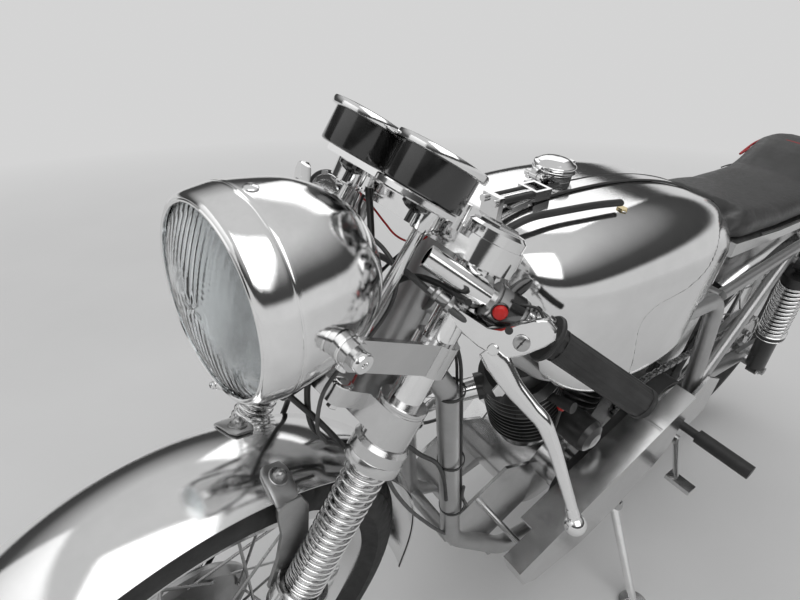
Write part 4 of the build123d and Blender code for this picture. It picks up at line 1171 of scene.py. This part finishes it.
def tank_ring(x, half, z0, z1, r, inset=0.0):
    half, z0, z1 = half - inset, z0 + inset, z1 - inset
    low = min(28.0, (z1 - z0) / 4)
    side = [(k / 5 * (half - low), z0) for k in range(5)]
    for k in range(7):
        turn = radians(15 * k)
        side.append((half - low + low * sin(turn), z0 + low - low * cos(turn)))
    a, b = z0 + low, z1 - r
    side += [(half, a + (b - a) * k / 36) for k in range(1, 36)]
    for k in range(21):
        turn = radians(4.5 * k)
        side.append((half - r + r * cos(turn), b + r * sin(turn)))
    side += [((half - r) * (1 - k / 6), z1) for k in range(1, 6)]
    side = [(y - (knee(x, z) if y > half * 0.5 else 0), z) for y, z in side]
    ring = side + [(0, z1)] + [(-y, z) for y, z in reversed(side[1:])]
    return [vec(x, y, z) for y, z in ring]


def cutter(points, half, name):
    shape = Shape().skin([[vec(x, y, z) for x, z in points] for y in (-half, half)])
    return place_object(name, shape.mesh(name, PARK))


def tank():
    columns = [spline([row[k] for row in TANK]) for k in range(5)]
    spans, rows = len(TANK) - 1.0, 132
    rings = [tank_ring(*(c(0.0) for c in columns), inset=5.0)]
    for i in range(rows + 1):
        row = [c(spans * i / rows) for c in columns]
        if i == 0:
            row[0] += 0.6
        rings.append(tank_ring(*row, inset=0.0 if i else 1.4))
    rings.append(tank_ring(*(c(spans) for c in columns), inset=4.0))
    obj = Shape().skin(rings).make("tank_shell", CHASSIS, ["polished_alloy"], 40, replaces=("fuel_tank",))
    # The tunnel over the frame, the nose round the head and the cheeks beside it are cut away
    cuts = [
        cutter([(400, 500), (400, 676), (480, 682), (965, 724), (990, 735), (990, 500)], 131, "cut_tunnel"),
        cutter([(980, 500), (980, 738), (1030, 800), (1120, 800), (1120, 500)], 100, "cut_nose"),
        cutter([(980, 500), (980, 736), (1040, 752), (1060, 500)], 124, "cut_cheek"),
    ]
    for cut in cuts:
        mod = obj.modifiers.new("cut", "BOOLEAN")
        mod.operation, mod.solver, mod.object = "DIFFERENCE", "EXACT", cut
    bpy.context.view_layer.update()
    apply(obj)
    for cut in cuts:
        data = cut.data
        bpy.data.objects.remove(cut)
        bpy.data.meshes.remove(data)
    obj.data.shade_smooth()
    obj.data.set_sharp_from_angle(angle=radians(40))

    fit = Shape()
    fit.lathe([(29, 872), (29, 875.4), (27.6, 876.8), (23, 877.6), (20.6, 879), (20, 881), (20, 883),
               (21, 884), (25, 884.6), (25.8, 885.4), (25.8, 892.8), (25, 893.8), (18, 894), (18, 872)],
              FILLER, UP, 64, loop=True)
    for y0 in (-47, -26):
        fit.rod((901, y0, 892), (901, y0 + 7, 892), 8.6, 24, 0)
        fit.block((892, y0 + 3.5, 888), (20, 7, 8), bevel=1.0)
    fit.rod((901, -49, 892), (901, -17, 892), 4, 14, 0)
    fit.rod((856, 76, 870), (856, 76, 882), 14, 28, 0)
    fit.hexagon((856, 76, 880), UP, 15, 4, 1, False)
    fit.make("tank_fittings", CHASSIS, ["polished_alloy", "brass"], 38)

    tops = [(columns[0](spans * k / 60), columns[3](spans * k / 60)) for k in range(61)]
    strap = Shape()
    for side in SIDES:
        places = (948, 930, 900, 860, 800, 740, 680, 620, 570, 530, 512)
        edge = [(x, 11.6 * side, line_at(tops, x) + 2.2) for x in places]
        strap.tube(smooth_path(edge, 4), 3.6, 8, 0)
        strap.rod((951, 9 * side, 890), (1006, 9 * side, 890), 7.4, 18, 0, 1.2)
    strap.lathe([(3.0 + 0.35 * (k % 2), 1.0 * k) for k in range(56)], (951, 0, 890), (1, 0, 0), 20, 1)
    strap.make("strap_edging", CHASSIS, ["black_rubber", "chrome"], 30)

    lid = Shape()
    lid.lathe([(24, 894.5), (28.6, 894.5), (29.2, 895.2), (29.2, 897.4), (28.6, 898), (28.6, 901.4),
               (29.0, 902), (28.8, 903.2), (27.4, 904.4), (25.4, 905.0), (24.0, 906.2), (20, 908.8),
               (14, 910.8), (7, 911.7), (0.3, 912)], FILLER, UP, 72)
    lid.block((829.5, -33, 899.5), (13, 12, 6.4), bevel=1.6)
    lid.block((893, -33, 900), (12, 10, 6.6), bevel=1.2)
    lid.block((899, -33, 897), (10, 10, 9), bevel=1.2)
    lid.lathe([(2.4, -6.4), (4.2, -6.4), (4.2, 6.4), (2.4, 6.4)], (901, -33, 892), (0, 1, 0), 28, 0,
              loop=True)
    lid.make("cap_lid", (PARK, "filler_cap"), ["polished_alloy"], 40, replaces=("filler_cap",))


# Front guard
def guard():
    half, crown, outer_r, inner_r = 61.0, 16.0, 348.5, 346.3
    bow = (half ** 2 + crown ** 2) / (2 * crown)

    def level(y, r0):
        return r0 - bow + sqrt(bow * bow - y * y)

    shape = Shape()
    rings = []
    count = 150
    edge = [(60.4, 330.4), (57.6, 330.2), (56.9, 332.6)]
    for i in range(count + 1):
        a = radians(-79 + 167 * i / count)
        grow = 3.0 * max(0.0, 1 - i / 5.0) ** 2
        outer = [half - 2 * half * k / 40 for k in range(41)]
        ring = [(y, level(y, outer_r)) for y in outer]
        ring += [(-y, r) for y, r in edge]
        ring += [(y, level(y, inner_r)) for y in reversed(outer[3:-3])]
        ring += edge[::-1]
        rings.append([polar(r + grow, a, y) for y, r in ring])
    shape.skin(rings)
    # On each side a cast bracket: a strap over the guard, a ribbed web down to the slider, a bolt
    for side in SIDES:
        strap = []
        tilt = radians(10.8)
        for y in (66, 63, 58, 50, 42, 34, 26):
            r = level(min(y, half), outer_r) + 2.4 - max(0, y - half) * 0.9
            strap.append(polar(r, tilt, y * side))
        shape.tube(strap, [27, 29, 31, 32, 32, 31, 22], 20, 2, flat=[5, 5, 5, 5, 5, 5, 3.4],
                   up=polar(1.0, tilt, 0), square=0.6)
        web = [(-20, 186), (20, 186), (30, 232), (46, 276), (66, 306), (72, 318), (66, 327), (46, 331),
               (28, 316), (2, 268), (-20, 226)]
        shape.slab([vec(x, 63.2 * side, z) for x, z in web], (0, 5 * side, 0), 2, 0.9)
        for x0, z0, x1, z1 in ((-8, 200, 24, 270), (8, 200, 44, 290), (30, 262, 62, 322)):
            shape.tube([vec(x0, 64.0 * side, z0), vec(x1, 64.0 * side, z1)], 3.2, 8, 2)
        bolt_y = 42
        out = polar(1.0, tilt, bolt_y * side / bow * 0.9).normalized()
        at = polar(level(bolt_y, outer_r) + 4.6, tilt, bolt_y * side)
        shape.lathe([(10.5, -0.6), (11, 0), (11, 1.4), (10.2, 2.0), (5, 2.0)], at, out, 36, 1)
        shape.lathe([(7.0, 1.8), (7.0, 4.4), (6.2, 5.0)], at, out, 6, 1)
        shape.lathe([(5.8, 4.8), (5.2, 7.4), (3.6, 9.4), (1.4, 10.4), (0.2, 10.6)], at, out, 24, 1)
    shape.make("guard_and_brackets", (FRONT, "steering"), ["polished_alloy", "steel", "cast_alloy"], 35,
               replaces=("front_mudguard",))


# Cables and wires
HEAD = PARK.inverted() @ STEER


def head(n, y, s):
    # A point of the steering frame, in the frame of the chassis
    return HEAD @ (vec(n, y, s) * MM) / MM


def tie(shape, point, axis, r):
    shape.lathe([(r, -2.4), (r + 1.3, -2.4), (r + 1.3, 2.4), (r, 2.4)], point, axis, 24, loop=True)


def wiring():
    # On the steering: cables from the levers and wires of the lamp, clocks and switch
    cable("clutch_cable_upper", [([(60, 118, 914), (78, 128, 917), (92, 120, 919), (98, 94, 922),
                                   (98, 46, 925), (95, 5, 921), (90, -19, 913), (80, -36, 889),
                                   (62, -46, 860)], 6.6)], STEERING, "cable_sheath")
    cable("brake_cable_upper", [([(64, -122, 921), (92, -104, 939), (116, -74, 947), (120, -32, 943),
                                  (120, 2, 939), (116, 29, 935), (106, 46, 922), (98, 52, 895),
                                  (102, 50, 850), (118, 48, 815), (125, 48, 790), (120, 47, 768),
                                  (98, 44, 730), (72, 42, 710)], 4.4)], STEERING, "cable_sheath")
    reds = [
        ([(84, -66, 972), (80, -60, 960), (80, -42, 957), (80, -16, 950), (80, 6, 945), (80, 26, 948),
          (80, 40, 960), (86, 46, 972)], 2.3),
        ([(80, 25, 944), (80, 20, 926), (80, 9, 908), (78, -6, 890), (72, -14, 862)], 2.3),
        ([(80, 4, 902), (80, 20, 889), (80, 27, 872), (80, 32, 851), (80, 36, 839), (76, 38, 818),
          (72, 36, 798)], 2.6),
    ]
    cable("red_wires", reds, STEERING, "red_wire", n=8)
    blacks = [
        ([(104, 128, 937), (94, 116, 934), (90, 86, 932), (90, 60, 926), (86, 40, 912), (88, 28, 880),
          (100, 24, 845), (120, 24, 806), (125, 24, 786), (118, 26, 764), (96, 32, 728), (66, 36, 708)],
         6.6),
        ([(92, -44, 972), (88, -30, 950), (88, -4, 912), (96, 18, 860), (118, 30, 810), (126, 27, 788),
          (122, 12, 762), (104, -14, 732), (66, -46, 704), (30, -72, 684), (14, -82, 650), (8, -84, 560),
          (12, -82, 460), (30, -72, 380)], 7.4),
        ([(160, -14, 786), (146, -2, 768), (128, 18, 756), (108, 40, 746), (92, 56, 736), (72, 60, 722),
          (48, 56, 706)], 6.6),
        ([(70, 146, 953), (63, 152, 953), (57, 158, 955), (52, 164, 956), (53, 171, 953), (56, 177, 949),
          (60, 181, 940)], 2.6),
        ([(92, 44, 972), (88, 38, 952), (86, 24, 930), (82, 10, 900), (76, 2, 860), (70, -6, 810)], 3.4),
        ([(90, -48, 972), (84, -52, 950), (80, -40, 925), (78, -28, 880), (74, -20, 830)], 3.4),
    ]
    cable("black_wires", blacks, STEERING, "black_wire", n=10)
    # Across the steering joint: each starts where its upper part ends, and is baked in place on no body
    lower = (
        ("brake_cable_lower", "cable_sheath", 5.8, head(72, 42, 710), (1115, 62, 455),
         [head(44, 46, 704), (1205, 64, 640), (1174, 66, 572), (1150, 64, 519), (1115, 62, 455),
          (1082, 61, 404), (1045, 60, 350), (1009, 60, 306), (980, 60, 284), (962, 60, 286),
          (958, 60, 306), (966, 60, 331), (985, 60, 370), (1004, 62, 408), (1012, 66, 440)]),
        ("loom_lower", "black_wire", 6.6, head(66, 36, 708), (1078, 60, 530),
         [head(34, 42, 704), (1190, 60, 650), (1151, 60, 616), (1115, 60, 572), (1078, 60, 530),
          (1056, 62, 480), (1044, 64, 430)]),
        ("clutch_cable_lower", "cable_sheath", 6.6, head(62, -46, 860), (1060, -82, 540),
         [head(20, -50, 846), head(-26, -52, 812), (1112, -66, 690), (1092, -76, 620),
          (1060, -82, 540), (1020, -86, 460), (960, -90, 410), (900, -90, 396)]),
    )
    for name, mat, d, start, held, route in lower:
        cable(name, [([start, *route], d)], CHASSIS, mat, blend=("steering", "chassis", start, held))
    # Along the front down tube, with ties, and a plug lead
    down = Shape()
    low, middle, high = [Vector(p) for p in ((1000, 57, 290), (1041, 56, 480), (1082, 55, 665))]
    for off, d in ((vec(-20, 3, 2), 5.0), (vec(-19, -4, 3), 4.0)):
        stops = ((low, (10, 0, 30)), (low, (14, 0, 60)), (middle, (0, 0, 0)), (high, (0, 0, 0)),
                 (high, (12, -2, 50)), (high, (30, -20, 110)))
        down.tube(smooth_path([p + off + Vector(step) for p, step in stops]), d)
    for z in (666, 516, 392):
        point = low.lerp(high, (z - low.z) / (high.z - low.z))
        tie(down, point + vec(-4, 0, 0), high - low, 19.0)
    down.tube(smooth_path([(847, 88, 548), (849, 90, 520), (850, 92, 486), (846, 93, 452)]), 6.0, 10, 0)
    down.lathe([(4.2, 0), (6.4, 1), (6.4, 12), (5.0, 14), (0.4, 14.4)], (847, 88, 542), (0, 0.1, 1), 24, 1)
    down.make("downtube_wires", CHASSIS, ["black_wire", "red_wire"], 60)


headlamp()
tank()
guard()
wiring()
clocks()
fork()
pinch_bolts()
grips()
controls()
seat()
shocks()
tyre("front_tyre_tread", 46.0, 241.3, 58.0, (FRONT, "front_wheel"), "front_tyre", False)
tyre("rear_tyre_tread", 54.0, 228.6, 64.0, (REAR, "rear_wheel"), "rear_tyre", True)
wheel_trim("front_spoke_nipples", 241.3, (FRONT, "front_wheel"))
wheel_trim("rear_spoke_nipples", 228.6, (REAR, "rear_wheel"))
sprocket()
drive()
